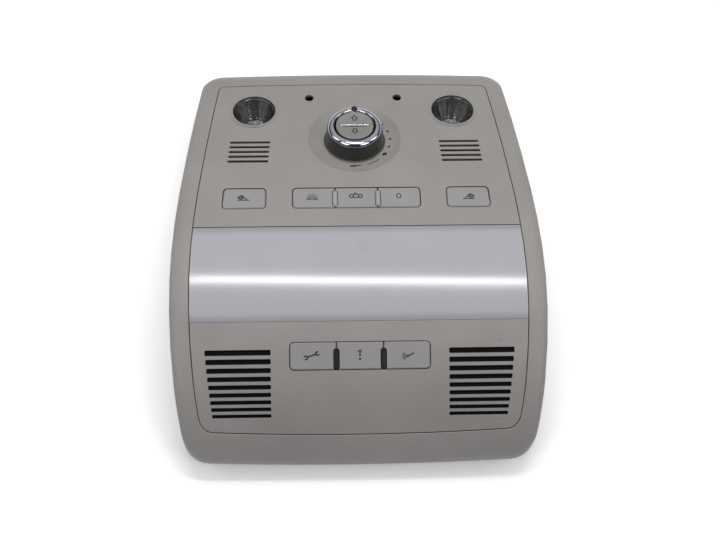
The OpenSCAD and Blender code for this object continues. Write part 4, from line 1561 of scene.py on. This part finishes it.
@dataclass(frozen=True)
class Softbox:
    """Rectangular lamp that faces one point, seen in glossy surfaces only where it is mirrored."""

    name: str
    place: tuple[float, float, float]
    target: tuple[float, float, float]
    width: float
    length: float
    power: float
    colour: Colour = (1.0, 1.0, 1.0)
    turn: float = 0.0
    mirrored: bool = True

    def build(self) -> None:
        """Hang the lamp so that its front faces the target; its width lies level, then is turned."""
        data = bpy.data.lights.new(self.name, "AREA")
        data.shape = "RECTANGLE"
        data.size = self.width
        data.size_y = self.length
        data.energy = self.power
        data.color = self.colour
        lamp = bpy.data.objects.new(self.name, data)
        way = Vector(self.target) - Vector(self.place)
        level = way.to_track_quat("-Z", "Y").to_matrix()
        lamp.rotation_euler = (level @ Matrix.Rotation(math.radians(self.turn), 3, "Z")).to_euler()
        lamp.location = self.place
        lamp.visible_glossy = self.mirrored
        bpy.context.scene.collection.objects.link(lamp)


@dataclass
class Studio:
    """Pale floor with a faint glow, soft light from all sides, and a world that is dark in front."""

    floor_size: float = 6.0
    floor_colour: Colour = (0.97, 0.97, 0.97)
    floor_glow: float = 0.16
    world_bright: float = 0.6
    world_dark: float = 0.03
    world_lean: float = math.radians(30)
    world_from: float = 0.45
    world_to: float = 0.92
    world_tint: Colour = (0.97, 0.98, 1.0)
    floor_drop: float = 0.1 * MM
    fill_tint: Colour = (0.97, 0.965, 1.0)

    def floor(self) -> None:
        """Lay the floor just under the console: a grid of one face, in a plain pale paint."""
        half = self.floor_size / 2
        corners = np.array([[-half, -half, 0], [half, -half, 0], [half, half, 0], [-half, half, 0]])
        corners[:, 2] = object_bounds()[0][2] - self.floor_drop
        floor = link_mesh("floor", corners, [[0, 1, 2, 3]])
        shader = Shader("pale_floor_paint", self.floor_colour, 0.85)
        tone = shader.step(shader.noise(0.5, 2.0), 0.2, 0.8)
        low, high = shade(self.floor_colour, 0.99), shade(self.floor_colour, 1.01)
        shader.set("Base Color", shader.blend(tone, low, high))
        shader.set("Emission Color", (*self.floor_colour, 1.0))
        shader.set("Emission Strength", self.floor_glow)
        floor.data.materials.append(shader.material)
        floor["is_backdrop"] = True

    def world(self) -> None:
        """Light the world around one direction that leans back from straight up, and dark elsewhere."""
        world = bpy.data.worlds.new("studio_world")
        bpy.context.scene.world = world
        world.use_nodes = True
        tree = world.node_tree
        place = tree.nodes.new("ShaderNodeTexCoord")
        toward = tree.nodes.new("ShaderNodeVectorMath")
        toward.operation = "DOT_PRODUCT"
        toward.inputs[1].default_value = (0.0, math.sin(self.world_lean), math.cos(self.world_lean))
        ramp = tree.nodes.new("ShaderNodeMapRange")
        ramp.interpolation_type = "SMOOTHSTEP"
        ramp.inputs["From Min"].default_value = self.world_from
        ramp.inputs["From Max"].default_value = self.world_to
        ramp.inputs["To Min"].default_value = self.world_dark
        ramp.inputs["To Max"].default_value = self.world_bright
        tree.links.new(place.outputs["Generated"], toward.inputs[0])
        tree.links.new(toward.outputs["Value"], ramp.inputs["Value"])
        background = tree.nodes["Background"]
        background.inputs["Color"].default_value = (*self.world_tint, 1.0)
        tree.links.new(ramp.outputs[0], background.inputs["Strength"])

    def build(self) -> None:
        """Set the floor, the world, the lamps and a plain view transform."""
        self.floor()
        self.world()
        lamps = (
            Softbox("rear_softbox", (0.1, 0.85, 1.2), (0, 0, 0.03), 1.3, 0.6, 5.2, (1.0, 0.985, 0.965),
                    mirrored=False),
            Softbox("strip_lamp", (0.035, 0.303, 1.0), (0, -0.034, 0.062), 0.54, 0.07, 3.0, turn=-2.4),
            Softbox("left_fill", (-0.69, -0.5, 1.0), (0, -0.03, 0.05), 0.6, 0.6, 3.4, self.fill_tint),
            Softbox("right_fill", (0.69, -0.5, 1.0), (0, -0.03, 0.05), 0.6, 0.6, 3.4, self.fill_tint),
            Softbox("left_softbox", (-1.2, 0.25, 0.9), (0, 0, 0.03), 0.5, 0.7, 2.4),
            Softbox("right_softbox", (1.2, 0.25, 0.9), (0, 0, 0.03), 0.5, 0.7, 2.4))
        for lamp in lamps:
            lamp.build()
        bpy.context.scene.view_settings.view_transform = "Standard"


def main() -> None:
    """Build the scene around the frame and report each piece."""
    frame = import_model()
    Camera().build()
    profile = FaceProfile()
    shop = Workshop(profile)
    assemblies = [Casing(shop), DomeLight(shop), *(ReadingLight(shop, profile, side) for side in Side),
                  RotarySwitch(shop, profile), ButtonRows(shop, profile)]
    for assembly in assemblies:
        assembly.build(frame)
        LOG.info("finished %s", type(assembly).__name__)
    Studio().build()


if __name__ == "__main__":
    logging.basicConfig(level=logging.INFO, format="%(name)s: %(message)s")
    main()
